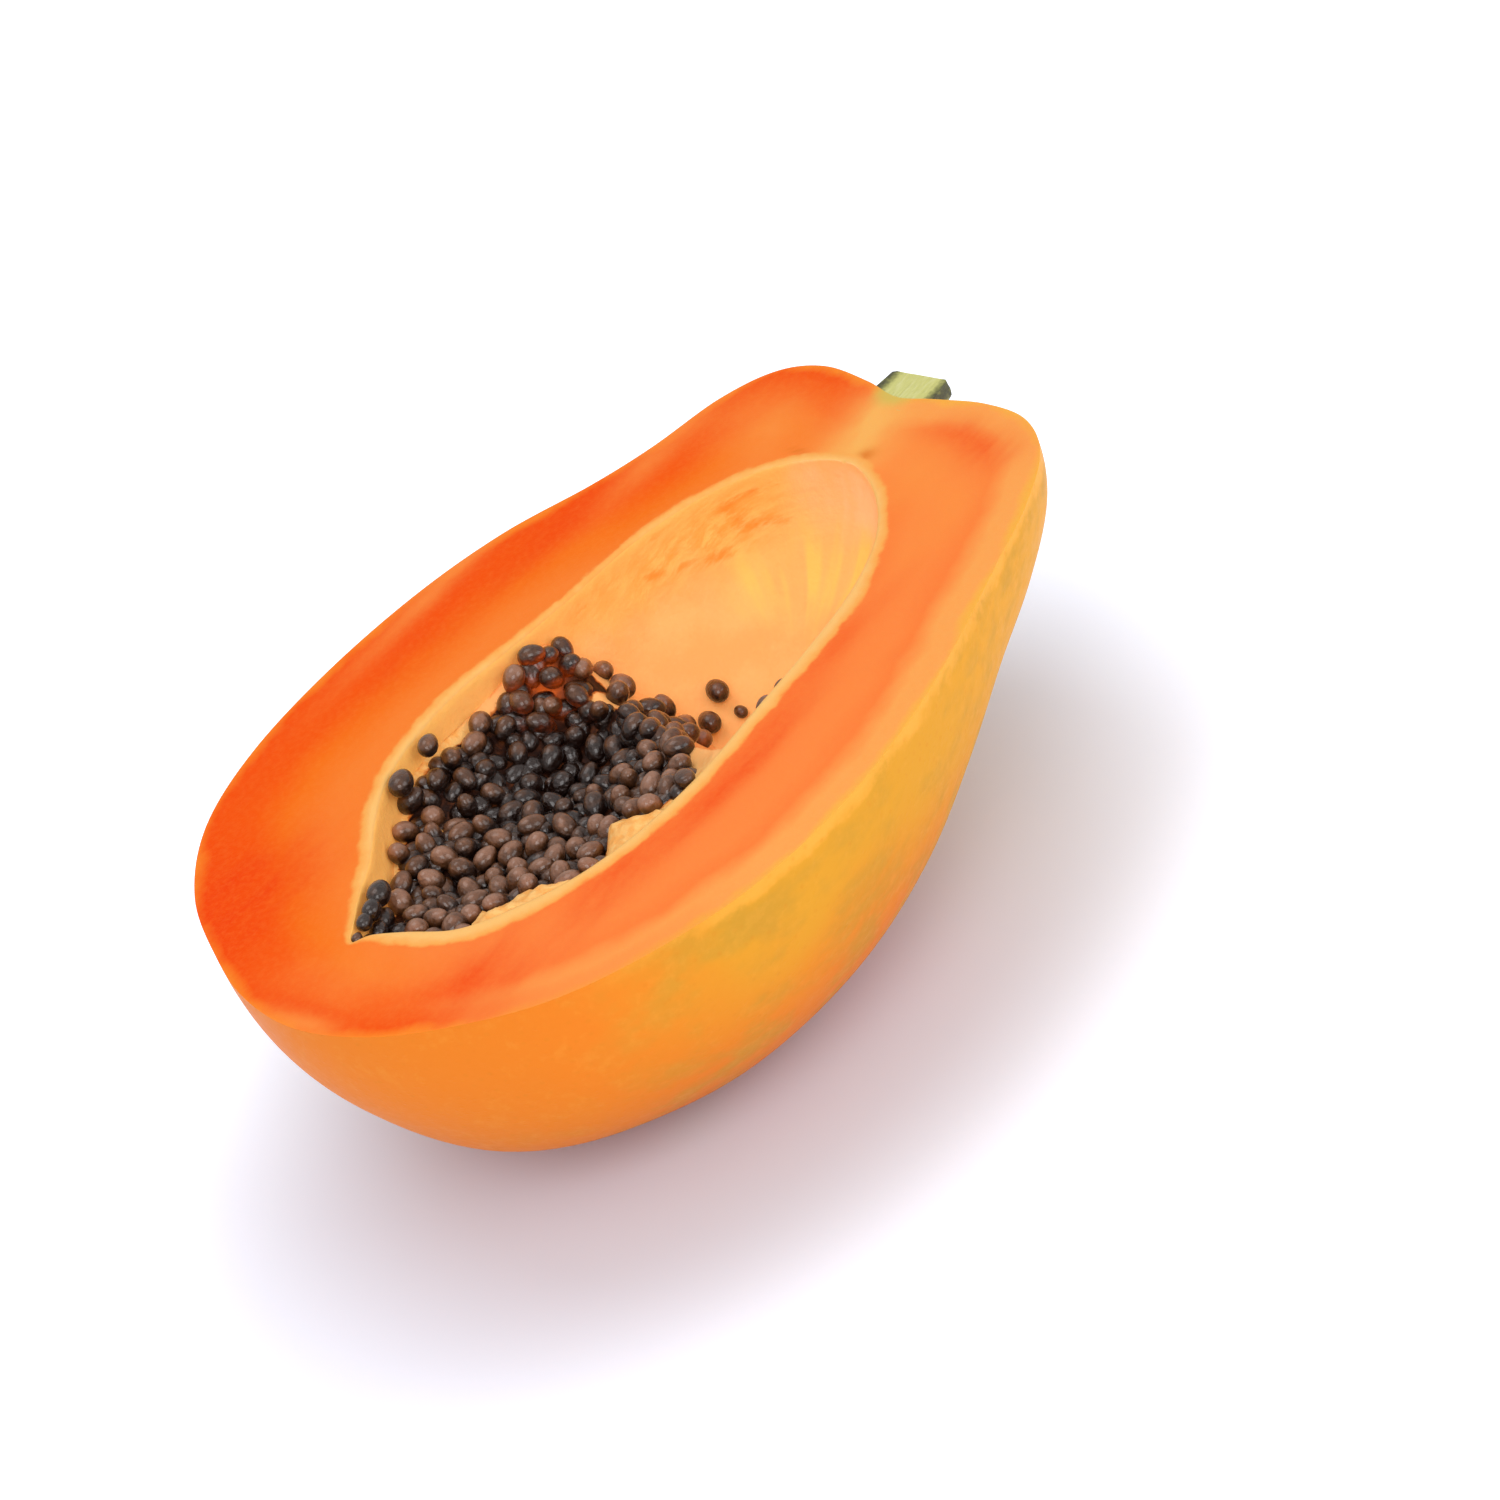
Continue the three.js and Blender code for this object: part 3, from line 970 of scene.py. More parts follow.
@dataclass(frozen=True)
class SeedFinish:
    """Dark wrinkled seeds in a thin wet coat, with painted top light and a painted mauve sheen on the tops
    of some, and painted shade on their undersides.
    """

    bench: Bench
    dark: Colour = tint(30, 13, 6)
    brown: Colour = tint(118, 70, 34)
    # Painted sheen on the lightest tops.
    sheen_mauve: Colour = tint(180, 134, 112)
    # Amber low on the seeds near the bare gap: partly pulp juice, partly painted orange bounce light.
    amber: Colour = tint(206, 84, 20)
    amber_place: Point = (102.0, 26.0)
    amber_reach: Point = (12.0, 2.0)
    film_size: float = 2.6
    wrinkle_size: float = 0.9
    pore_pitch: float = 0.8

    def material(self) -> bpy.types.Material:
        """Mix the seeds' coats.

        Returns:
            Their material.
        """
        r = Recipe("seed", self.bench)
        tone = r.field("tone")
        film = r.cloud(self.film_size, 3.0)
        wrinkle = r.cloud(self.wrinkle_size, 4.0, 0.6) + r.cells(self.pore_pitch) * 0.7
        # Height on each seed, from which top light and underside shade are painted.
        crown = r.field("crown")
        # Tone varies at random and with the coat's film; the height on the seed adds painted top light and
        # painted shade below.
        light = tone + film * 1.6 + crown * 0.85 - 0.52
        colour = r.mixed(light, self.dark, self.brown)
        # Painted sheen: mauve on the lightest tops.
        colour = r.mixed(light.rise(0.5, 1.3) * 0.5, colour, self.sheen_mauve)
        away = r.length(r.x - self.amber_place[0], r.y - self.amber_place[1], 0.0)
        # Partly juice, partly painted bounce light from the pulp, on the lower sides.
        juice_and_bounce = (away + film * 12.0).rise(*self.amber_reach) * (crown + film * 2.0).rise(0.7, -0.5)
        colour = r.mixed(juice_and_bounce * 0.75, colour, self.amber)
        return r.surface(
            Base_Color=colour, Roughness=0.3 + tone * 0.14,
            Normal=r.raised(wrinkle, 0.36, 0.8), Specular_IOR_Level=0.4,
            Specular_Tint=(1.0, 0.86, 0.82, 1.0), Coat_Weight=0.8, Coat_Roughness=0.12)


@dataclass(frozen=True)
class CoreFinish:
    """What shows between the seeds: dark painted shade in the hollows, and cream pulp towards the wall."""

    bench: Bench
    # Painted shade: the dark hollows between the seeds.
    dark: Colour = tint(40, 18, 10)
    brown: Colour = tint(104, 54, 26)
    pulp: Colour = tint(250, 176, 92)
    bright: Colour = tint(254, 198, 120)
    rust: Colour = tint(206, 108, 40)
    orange: Colour = tint(238, 104, 26)
    peach: Colour = tint(255, 182, 112)
    torn_size: float = 2.4
    strand_size: Size = (1.6, 3.0, 1.6)
    wall_start: Point = (82.0, 92.0)  # X between which the pulp gives way to bare wall
    # Strength of the painted glow.
    glow: float = 0.08

    def material(self) -> bpy.types.Material:
        """Mix the core.

        Returns:
            Its material.
        """
        r = Recipe("core", self.bench)
        torn = r.cloud(self.torn_size, 5.0, 0.6)
        strands = r.cloud(r.stretched(*self.strand_size), 4.0)
        # Painted shade between the seeds, dark to brown.
        colour = r.mixed(torn.rise(-0.05, 0.25), self.dark, self.brown)
        colour = r.mixed(r.field("bare") * (1.4 + torn * 2.0), colour, self.orange)
        pulp = r.field("pulp") + torn * 0.8
        colour = r.mixed(pulp.rise(0.2, 0.36), colour, self.rust)
        lining = r.mixed(strands.rise(-0.12, 0.16), self.pulp, self.bright)
        smooth = (r.x + torn * 4.0).rise(*self.wall_start)
        lining = r.mixed(smooth * 0.8, lining, self.peach)
        colour = r.mixed(pulp.rise(0.32, 0.5), colour, lining)
        height = (torn * 0.6 + strands) * (1.0 - smooth * 0.8)
        # The emission is a painted glow.
        return r.surface(Base_Color=colour, Roughness=0.42 + torn * 0.3,
                         Normal=r.raised(height, 0.8, 0.7), Specular_IOR_Level=0.1,
                         Emission_Color=colour, Emission_Strength=self.glow)


@dataclass(frozen=True)
class StemFinish:
    """Cut stem: green-yellow wood inside a dull grey-green bark."""

    bench: Bench
    middle_y: float
    radius: float
    wood: Colour = tint(210, 208, 128)
    pith: Colour = tint(224, 222, 160)
    bark: Colour = tint(142, 142, 84)
    dark: Colour = tint(84, 84, 62)
    grain_size: Size = (5.0, 0.9, 0.9)
    fine_size: float = 1.0
    patch_size: float = 3.0
    bark_depth: Point = (3.6, 1.8)  # distances in from the outside
    pith_depth: Point = (3.0, 5.0)
    dark_depth: Point = (2.4, 0.8)

    def material(self) -> bpy.types.Material:
        """Mix the stem.

        Returns:
            Its material.
        """
        r = Recipe("stem", self.bench)
        grain = r.cloud(r.stretched(*self.grain_size), 4.0)
        fine = r.cloud(self.fine_size, 4.0)
        patches = r.cloud(self.patch_size).rise(-0.16, 0.04)
        inwards = self.radius - r.length(0.0, r.y - self.middle_y, r.z) + fine * 2.0
        colour = r.mixed(inwards.rise(*self.bark_depth), self.wood, self.bark)
        colour = r.mixed(inwards.rise(*self.pith_depth) * grain.rise(-0.1, 0.25), colour, self.pith)
        colour = r.mixed(inwards.rise(*self.dark_depth) * patches, colour, self.dark)
        return r.surface(Base_Color=colour, Roughness=0.62 + fine * 0.3,
                         Normal=r.raised(grain + fine * 0.6, 0.5, 0.8), Specular_IOR_Level=0.2)


@dataclass(frozen=True)
class FloorFinish:
    """Plain white studio floor, with a painted glow that grows away from the fruit."""

    bench: Bench
    white: Colour = tint(232, 240, 255)
    dark: Colour = tint(0, 0, 0)
    light: Colour = tint(246, 245, 250)
    glow: float = 0.7
    middle: Point = (90.0, 0.0)
    length_share: float = 0.7  # how fast the glow grows lengthwise, against crosswise
    glow_reach: Point = (56.0, 130.0)  # crosswise from the fruit's middle, in millimetres

    def material(self) -> bpy.types.Material:
        """Mix the floor.

        Returns:
            Its material.
        """
        r = Recipe("floor", self.bench)
        away = r.length((r.x - self.middle[0]) * self.length_share, r.y - self.middle[1], 0.0)
        # Painted glow: none near the fruit, full further away.
        painted_floor_glow = r.mixed(away.rise(*self.glow_reach), self.dark, self.light)
        return r.surface(Base_Color=self.white, Roughness=0.75, Specular_IOR_Level=0.1,
                         Emission_Color=painted_floor_glow, Emission_Strength=self.glow)


# ---- Pieces ----


@dataclass(frozen=True)
class Patch:
    """A soft patch in the plan of the cut face.

    Attributes:
        x: Its middle along the fruit.
        y: Its middle across.
        reach: Half length and half width.
        strength: How much of it shows.
    """

    x: float
    y: float
    reach: Point
    strength: float = 1.0

    def share(self, points: np.ndarray) -> np.ndarray:
        """How much of the patch shows at points, one a row."""
        away = (points[:, :2] - (self.x, self.y)) / self.reach
        return self.strength * np.exp(-np.sum(away ** 2, axis=1))

    def share_at(self, x: float, y: float) -> float:
        """How much of the patch shows at one place."""
        away = ((x - self.x) / self.reach[0]) ** 2 + ((y - self.y) / self.reach[1]) ** 2
        return self.strength * math.exp(-away)


def sheet(shape: bmesh.types.BMesh, columns: int, rows: int,
          place: Callable[[float, float], Vector], region: Region) -> None:
    """Add a sheet of quads to a shape.

    Args:
        shape: The shape.
        columns: Quads one way.
        rows: Quads the other way.
        place: Where a corner goes, from its shares of both ways.
        region: The surface that the sheet belongs to.
    """
    made = bmesh.ops.create_grid(shape, x_segments=columns, y_segments=rows, size=1.0)["verts"]
    for corner in made:
        column = round((corner.co.x + 1) / 2 * columns) / columns
        row = round((corner.co.y + 1) / 2 * rows) / rows
        corner.co = place(column, row)
    for face in {face for corner in made for face in corner.link_faces}:
        face.material_index = region.value


@dataclass(frozen=True)
class PapayaHalf:
    """Skin, cut flesh and cavity wall in one closed shell."""

    bench: Bench
    fruit: FruitForm
    hollow: HollowForm
    stations: int = 150
    skin_rows: int = 88
    wall_rows: int = 72
    cut_rows: int = 26
    edge_crowding: float = 0.6  # how much closer the rows lie at both edges of the cut
    rest_depth: float = 70.0
    cut_band: float = 1.0  # depth down to which points still count as on the cut
    cut_waviness: float = 0.14
    wave_length: float = 7.0
    lip_softening: int = 6
    lip_rings: int = 2
    weld: float = 0.03
    red_patches: tuple[Patch, ...] = (
        Patch(26, 36, (17, 13), 0.9),
        Patch(95, 54, (22, 8), 0.45),
        Patch(132, 47, (22, 5), 0.45),
        Patch(5.5, 2, (2, 12), 0.4),
        Patch(24, -28, (10, 8), 0.7),
        Patch(50, -37, (16, 4), 0.6),
        Patch(86, -42, (24, 3.5), 0.6),
        Patch(126, -38, (18, 3), 0.3),
        Patch(183.5, -20, (5, 7), 0.4),
        Patch(180.5, -31, (6, 7), 0.5),
    )
    # Pale flesh, partly a painted sheen.
    pale_and_sheen_patches: tuple[Patch, ...] = (
        Patch(170, -22, (16, 12), 0.8),
        Patch(177, 0, (12, 12), 0.6),
        Patch(158, -36, (14, 6), 0.5),
        Patch(12, 0, (8, 14), 0.45),
        Patch(112, 62, (26, 3), 0.95),
        Patch(163, 42, (20, 4), 0.7),
        Patch(176, 24, (11, 12), 0.8),
        Patch(2, 0, (2.5, 9), 0.8),
    )
    stain_patches: tuple[Patch, ...] = (
        Patch(186, 0, (5, 5.5), 0.9),
        Patch(178, -1.5, (7, 7), 0.95),
        Patch(171, -2, (4, 6), 0.8),
    )
    dot_patches: tuple[Patch, ...] = (
        Patch(172.4, -5.5, (2.0, 2.0), 0.8),
        Patch(169.8, 10.5, (0.7, 2.6), 0.6),
    )
    wall_scars: tuple[Patch, ...] = (  # along the far wall, and up from the cut face
        Patch(120.6, -3.9, (4.0, 1.5)),
        Patch(132.6, -4.4, (2.2, 1.8), 0.6),
        Patch(136.5, -8.6, (3.6, 1.5)),
        Patch(143.5, -11.2, (4.2, 1.4), 0.8),
        Patch(150.0, -13.0, (4.2, 1.5)),
        Patch(140.7, -2.6, (3.0, 1.2), 0.8),
        Patch(149.3, -5.3, (2.2, 1.8), 0.8),
        Patch(154.8, -4.9, (2.2, 1.5)),
        Patch(155.6, -8.9, (2.4, 2.6)),
        Patch(160.0, -11.0, (3.2, 1.4)),
        Patch(160.2, -3.9, (3.6, 1.4)),
        Patch(160.4, -7.2, (2.6, 1.0), 0.6),
    )
    wall_washes: tuple[Patch, ...] = (  # torn stretches round them, in the same way
        Patch(122, -4, (9, 3.5), 0.6),
        Patch(139, -8, (10, 5), 0.8),
        Patch(155, -8, (9, 7)),
    )

    def build(self) -> bpy.types.Object:
        """Make the shell and dress it.

        Returns:
            The piece.
        """
        shape = bmesh.new()
        sheet(shape, self.stations, self.skin_rows, self._skin_place, Region.SKIN)
        sheet(shape, self.stations, self.wall_rows, self._wall_place, Region.LINING)
        sheet(shape, 2 * self.stations, self.cut_rows, self._cut_place, Region.FLESH)
        bmesh.ops.remove_doubles(shape, verts=shape.verts, dist=self.weld)
        self._soften_lip(shape)
        bmesh.ops.recalc_face_normals(shape, faces=shape.faces)
        self._set_shading(shape)
        finishes = [kind(self.bench).material() for kind in (SkinFinish, FleshFinish, LiningFinish)]
        piece = self.bench.finish(shape, "papaya_flesh_and_skin", finishes, "papaya_flesh", "papaya_half")
        self._note_fields(piece)
        return piece

    def _skin_place(self, along: float, across: float) -> Vector:
        """A corner of the skin, flat where the fruit rests.

        Args:
            along: 0 at the blossom end, 1 at the stem end.
            across: 0 at the far rim, 1 at the near rim.

        Returns:
            Its place.
        """
        place = self.fruit.point(along, across * math.pi)
        place.z = max(place.z, -self.rest_depth)
        return place

    def _wall_place(self, along: float, across: float) -> Vector:
        """A corner of the cavity's wall."""
        return self.hollow.point(along, across * math.pi)

    def _cut_place(self, round_share: float, out: float) -> Vector:
        """A corner of the cut face.

        Args:
            round_share: Share of the way round.
            out: 0 at the lip of the cavity, 1 at the skin.

        Returns:
            Its place.
        """
        crowded = out - self.edge_crowding * math.sin(FULL_TURN * out) / FULL_TURN
        place = self.hollow.rim.point(round_share).lerp(self.fruit.rim.point(round_share), crowded)
        wave = 0.5 + noise.noise(place / self.wave_length) / 2
        place.z = -self.cut_waviness * wave * math.sin(math.pi * out)
        return place

    def _soften_lip(self, shape: bmesh.types.BMesh) -> None:
        """Round the lip of the cavity.

        Args:
            shape: The shell.
        """
        both = {Region.FLESH.value, Region.LINING.value}
        band = {corner for corner in shape.verts
                if {face.material_index for face in corner.link_faces} == both}
        for _ in range(self.lip_rings):
            band |= {edge.other_vert(corner) for corner in band for edge in corner.link_edges}
        for _ in range(self.lip_softening):
            bmesh.ops.smooth_vert(shape, verts=list(band), factor=0.5,
                                  use_axis_x=True, use_axis_y=True, use_axis_z=True)

    def _set_shading(self, shape: bmesh.types.BMesh) -> None:
        """Shade the shell smooth, with a crisp edge where the knife met the skin.

        Args:
            shape: The shell.
        """
        for face in shape.faces:
            face.smooth = True
        for edge in shape.edges:
            regions = {face.material_index for face in edge.link_faces}
            if regions == {Region.SKIN.value, Region.FLESH.value}:
                edge.smooth = False

    def _note_fields(self, piece: bpy.types.Object) -> None:
        """Note what the finishes read: distances from the skin and from the cream, and patches.

        Args:
            piece: The shell.
        """
        points = corner_points(piece, self.bench)
        on_cut = points[:, 2] > -self.cut_band
        for name, line, sign in (("peel", self.fruit.rim, -1), ("cream", CREAM_EDGE, 1)):
            values = np.zeros(len(points))
            values[on_cut] = sign * line.distance(points[on_cut])
            note_field(piece, name, values)
        for name, patches in (("red", self.red_patches), ("pale", self.pale_and_sheen_patches),
                              ("stain", self.stain_patches), ("dot", self.dot_patches)):
            note_field(piece, name, sum(patch.share(points) for patch in patches).clip(0, 1))
        for name, patches in (("scar", self.wall_scars), ("wash", self.wall_washes)):
            shares = sum(patch.share(points[:, (0, 2)]) for patch in patches)
            note_field(piece, name, shares.clip(0, 1) * (points[:, 1] > 0))


@dataclass(frozen=True)
class PulpShore:
    """Bare pulp that rises to the near lip in front of the seeds.

    Attributes:
        edge: Where the seeds end, in the plan.
        slope: How far within and beyond the edge the pulp rises from under the seeds.
        end: X by which it has sunk into the wall, and X up to which it stands in full.
        foot: Its height from the cut face where the seeds end.
        top: Its height at the lip.
        rise: Millimetres over which it rises between the two.
        fall: How much lower it lies for each millimetre beyond fall_start, towards the stem.
        fall_start: Where it begins to fall away.
        unevenness: Height of its lumps.
        lump: Their size.
        ceiling: The height that it stays under.
    """

    edge: tuple[Point, ...] = (
        (30, -16), (34, -14.5), (37, -11.5), (40, -11.4), (43.7, -15.8), (47.7, -16.5), (51.9, -23.6),
        (54, -26), (58, -29.3), (61.7, -26.3), (67.7, -21.3), (70.2, -22.8), (74.5, -30.8),
        (77.7, -30.8), (81.9, -32.8), (87, -27), (92.4, -20.5), (96.4, -17), (106, -5.6), (116, 0))
    slope: Point = (-3.0, 1.5)
    end: Point = (90.0, 82.0)
    foot: float = -3.1
    top: float = -0.7
    rise: float = 7.0
    fall: float = 0.2
    fall_start: float = 78.0
    unevenness: float = 1.0
    lump: float = 3.0
    ceiling: float = -0.2

    def beyond(self, x: float, y: float) -> float:
        """How far a place lies beyond the seeds' edge, towards the near lip."""
        return float(np.interp(x, *zip(*self.edge))) - y

    def bare(self, x: float, y: float) -> float:
        """How clear of seeds a place is, 0 to 1."""
        return smoothstep(self.beyond(x, y), *self.slope)

    def share(self, x: float, y: float) -> float:
        """How far the pulp has risen at a place, 0 to 1."""
        return self.bare(x, y) * smoothstep(x, *self.end)

    def height(self, x: float, y: float) -> float:
        """Height of the pulp's own top.

        Args:
            x: Place along the fruit.
            y: Place across it.

        Returns:
            The height from the cut face.
        """
        lumps = self.unevenness * noise.noise(Vector((x, y, 0)) / self.lump)
        top = lerp(self.foot, self.top, smoothstep(self.beyond(x, y), 0, self.rise))
        return min(top + lumps - self.fall * max(0.0, x - self.fall_start), self.ceiling)


@dataclass(frozen=True)
class HeapTop:
    """Height of the heap's top: an uneven bowl with a deeper pit, falling away at the stem end."""

    middle: Point = (74, 1)
    reach: Point = (52, 34)
    rim: float = -3.2
    tilt: float = 0.06
    hollow: float = 10.0
    unevenness: float = 1.2
    wave_x: Point = (5.2, 0.6)  # millimetres for a radian, and radians at the tip
    wave_y: Point = (4.4, 1.1)
    pit_middle: Point = (90, 12)
    pit_radius: float = 13.0
    pit_depth: float = 8.0
    brow_x: float = 100.0
    brow_slant: float = 0.29
    brow_slope: float = 1.6
    bare_depth: float = 3.0
    bare: tuple[Patch, ...] = (  # where seeds have come away
        Patch(99, 22, (4.2, 4.2)),
        Patch(63, 21.5, (3.8, 3.8)),
        Patch(66, -29, (5.5, 5.5)),
        Patch(40, -20, (5, 5)),
    )

    def height(self, x: float, y: float) -> float:
        """Height of the heap's top.

        Args:
            x: Place along the fruit.
            y: Place across it.

        Returns:
            The height from the cut face.
        """
        bowl = ((x - self.middle[0]) / self.reach[0]) ** 2 + ((y - self.middle[1]) / self.reach[1]) ** 2
        pit = ((x - self.pit_middle[0]) ** 2 + (y - self.pit_middle[1]) ** 2) / self.pit_radius ** 2
        top = self.rim - self.tilt * y - self.hollow * max(0.0, 1 - bowl) - self.pit_depth * math.exp(-pit)
        wave_x = math.sin(x / self.wave_x[0] + self.wave_x[1])
        wave_y = math.sin(y / self.wave_y[0] + self.wave_y[1])
        top += self.unevenness * wave_x * wave_y
        for patch in self.bare:
            top -= self.bare_depth * patch.share_at(x, y)
        return top - self.brow_slope * max(0.0, self.beyond_brow(x, y))

    def beyond_brow(self, x: float, y: float) -> float:
        """How far a place lies beyond the brow, towards the stem."""
        return x - self.brow_x - self.brow_slant * y


@dataclass(frozen=True)
class Seed:
    """One seed.

    Attributes:
        place: Its middle.
        length: Its length.
        turn: Angles about X, Y and Z.
        tone: How light it is, about 0 to 1.
    """

    place: Vector
    length: float
    turn: tuple[float, float, float]
    tone: float


@dataclass(frozen=True)
class SeedShape:
    """Egg-shaped seeds, each joined into one mesh with the others."""

    bench: Bench
    slimness: float = 0.82
    sides: int = 8
    rings: int = 6
    taper: float = 0.28
    dents: float = 0.05
    dents_along: float = 2.3  # how many dents fit along a seed
    variants: int = 5
    variant_step: float = 7.0  # how far apart the variants' dents are taken

    def join(self, seeds: Sequence[Seed], name: str, *nodes: str) -> bpy.types.Object:
        """Make one piece of many seeds.

        Args:
            seeds: The seeds.
            name: The piece's name.
            *nodes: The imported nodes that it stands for.

        Returns:
            The piece.
        """
        moulds = [self._mould(variant) for variant in range(self.variants)]
        joined = bmesh.new()
        for index, seed in enumerate(seeds):
            copy = moulds[index % self.variants].copy()
            turned = Euler(seed.turn, "ZYX").to_matrix().to_4x4()
            copy.transform(Matrix.Translation(seed.place) @ turned @ Matrix.Scale(seed.length, 4))
            joined.from_mesh(copy)
            bpy.data.meshes.remove(copy)
        corners = len(moulds[0].vertices)
        for mould in moulds:
            bpy.data.meshes.remove(mould)
        piece = self.bench.finish(joined, name, [SeedFinish(self.bench).material()], "papaya_seeds", *nodes)
        note_field(piece, "tone", np.repeat([seed.tone for seed in seeds], corners))
        middles = np.repeat([seed.place.z for seed in seeds], corners)
        radii = np.repeat([seed.length * self.slimness / 2 for seed in seeds], corners)
        # Height on each seed, for its finish to paint top light and underside shade.
        note_field(piece, "crown", (corner_points(piece, self.bench)[:, 2] - middles) / radii)
        rounding = piece.modifiers.new("rounding", "SUBSURF")
        rounding.levels = rounding.render_levels = 1
        return piece

    def _mould(self, variant: int) -> bpy.types.Mesh:
        """One seed of unit length along X, egg-shaped and a little dented.

        Args:
            variant: Which set of dents it has.

        Returns:
            Its mesh.
        """
        shape = bmesh.new()
        bmesh.ops.create_uvsphere(shape, u_segments=self.sides, v_segments=self.rings, radius=0.5,
                                  matrix=Matrix.Rotation(math.pi / 2, 4, "Y"))
        apart = Vector((variant * self.variant_step, 0, 0))
        for corner in shape.verts:
            slim = self.slimness * (1 - self.taper * corner.co.x)
            dent = 1 + self.dents * noise.noise(corner.co * self.dents_along + apart)
            corner.co = Vector((corner.co.x, corner.co.y * slim, corner.co.z * slim)) * dent
        for face in shape.faces:
            face.smooth = True
        return meshed(f"seed_mould_{variant}", shape)


@dataclass(frozen=True)
class SeedHeap:
    """The seeds in the cavity: those that show, more below them, and the core that carries them."""

    bench: Bench
    hollow: HollowForm
    top: HeapTop
    shape: SeedShape
    lengths: Point = (5.6, 6.8)
    turns: tuple[Point, ...] = ((-3, 3), (-0.7, 0.7), (-3, 3))
    lift: float = 1.7
    field_x: Point = (26, 128)
    field_y: Point = (-34, 34)
    margin: float = 2.4
    spacings: tuple[float, ...] = (6.2, 5.6, 5.1, 4.7)
    darts: int = 2000
    seed: int = 20261124
    slit_seeds: tuple[tuple[float, float, float], ...] = (  # X, Y and length
        (33.5, 9.2, 6.4), (30, 6.6, 5.2), (26.3, 5.6, 4.2))
    slit_turn: tuple[float, float, float] = (0, 0, 0.5)
    perched: tuple[tuple[float, float, float, float], ...] = (  # X, Y, Z and length
        (63.2, 28.8, -1.5, 7.0), (73.9, 31.0, -1.5, 5.8), (36.2, 10.6, -1.4, 6.6), (31.8, 8.4, -1.0, 5.4),
        (28.2, 6.9, -0.6, 4.4), (24.2, 5.3, -0.8, 3.0))
    shore: PulpShore = PulpShore()
    shore_margin: float = 1.7  # how far the seeds' middles stay within the shore
    shore_jag: float = 2.0
    clearings: tuple[Patch, ...] = (  # bare pulp in the heap
        Patch(61.5, 21.6, (2.8, 2.4)),
        Patch(105.5, 15.5, (2.8, 2.4)),
    )
    clearing_rise: float = 2.2  # how far the first one stands up
    bare_share: float = 0.45  # share of a patch from which seeds stay off
    foot: Point = (2.0, 6.0)  # millimetres beyond the brow between which pulp begins to show
    gaps: tuple[Patch, ...] = (Patch(102, 26, (2.8, 2.8)),)
    fill_spacing: float = 3.7
    fill_darts: int = 5000
    fill_sink: float = 2.3
    shades: tuple[Patch, ...] = (Patch(85, 9, (19, 14), 0.85), Patch(31, 8, (7, 5), 0.8))
    tones: Point = (0.15, 1.05)
    sunk_shade: float = 0.5  # how much darker the seeds below are
    shading: float = 0.4
    core_plan: Point = (110, 76)
    core_middle_x: float = 73.0
    core_floor: float = -60.0
    core_step: float = 1.1
    room_grid: tuple[int, int] = (120, 72)
    room_weld: float = 0.02
    grip: float = 0.15  # how far the core is pressed into the wall
    seam: Point = (3.0, 1.2)  # distances from the wall between which pulp begins to show
    seam_share: float = 0.7
    wall_search: float = 40.0  # how far from a place the wall is looked for
    wall_tolerance: float = 0.1

    def build(self) -> list[bpy.types.Object]:
        """Make the seeds and their core.

        Returns:
            Both pieces.
        """
        seeds = self._scatter()
        log.info("seeds in the heap: %d", len(seeds))
        return [self.shape.join(seeds, "seeds", "seed_heap"), self._core()]

    def _scatter(self) -> list[Seed]:
        """Spread the seeds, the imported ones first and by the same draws.

        Returns:
            The seeds.
        """
        random = RandomNumbers(self.seed)
        spots = [(Vector((x, y, self.top.height(x, y))), length, self.slit_turn)
                 for x, y, length in self.slit_seeds]
        for spacing in self.spacings:
            for _ in range(self.darts):
                spot = self._dart(random)
                if self._fits(spot[0], spots, spacing, self.top.bare):
                    spots.append(spot)
        spots = [spot for spot in spots if not self._left_bare(spot[0])]
        hidden: list[tuple] = []
        for _ in range(self.fill_darts):
            place, length, turn = self._dart(random)
            if self._left_bare(place) or self.top.beyond_brow(place.x, place.y) > 0:
                continue
            if self._fits(place, spots, self.spacings[-1], self.gaps):
                spots.append((place, length, turn))
            sunk = place - Vector((0, 0, self.fill_sink))
            roomy = self._fits(place, hidden, self.fill_spacing, self.gaps)
            if roomy and self.hollow.holds(sunk, self.margin):
                hidden.append((sunk, length, turn))
        spots += [(Vector(place) - Vector((0, 0, self.lift)), length, self.slit_turn)
                  for *place, length in self.perched]
        seeds = []
        for index, (place, length, turn) in enumerate(spots + hidden):
            shade = sum(patch.share_at(place.x, place.y) for patch in self.shades)
            shade += self.sunk_shade if index >= len(spots) else 0
            tone = random.between(*self.tones) * (1 - min(shade, 1.0)) - self.shading * shade
            seeds.append(Seed(place + Vector((0, 0, self.lift)), length, turn, tone))
        return seeds

    def _dart(self, random: RandomNumbers) -> tuple[Vector, float, tuple[float, ...]]:
        """One try for a seed.

        Args:
            random: Where its numbers are drawn.

        Returns:
            A place on the heap's top, a length and a turn.
        """
        x = random.between(*self.field_x)
        y = random.between(*self.field_y)
        length = random.between(*self.lengths)
        turn = tuple(random.between(*limits) for limits in self.turns)
        return Vector((x, y, self.top.height(x, y))), length, turn

    def _fits(self, place: Vector, taken: Sequence[tuple], spacing: float,
              bare: Sequence[Patch]) -> bool:
        """Whether a seed may lie at a place.

        Args:
            place: The place.
            taken: Seeds that lie already.
            spacing: How far from those it has to be.
            bare: Round patches without seeds.

        Returns:
            True where it may.
        """
        if any(math.hypot(place.x - patch.x, place.y - patch.y) < patch.reach[0] for patch in bare):
            return False
        if any((spot[0] - place).length < spacing for spot in taken):
            return False
        return self.hollow.holds(place, self.margin)

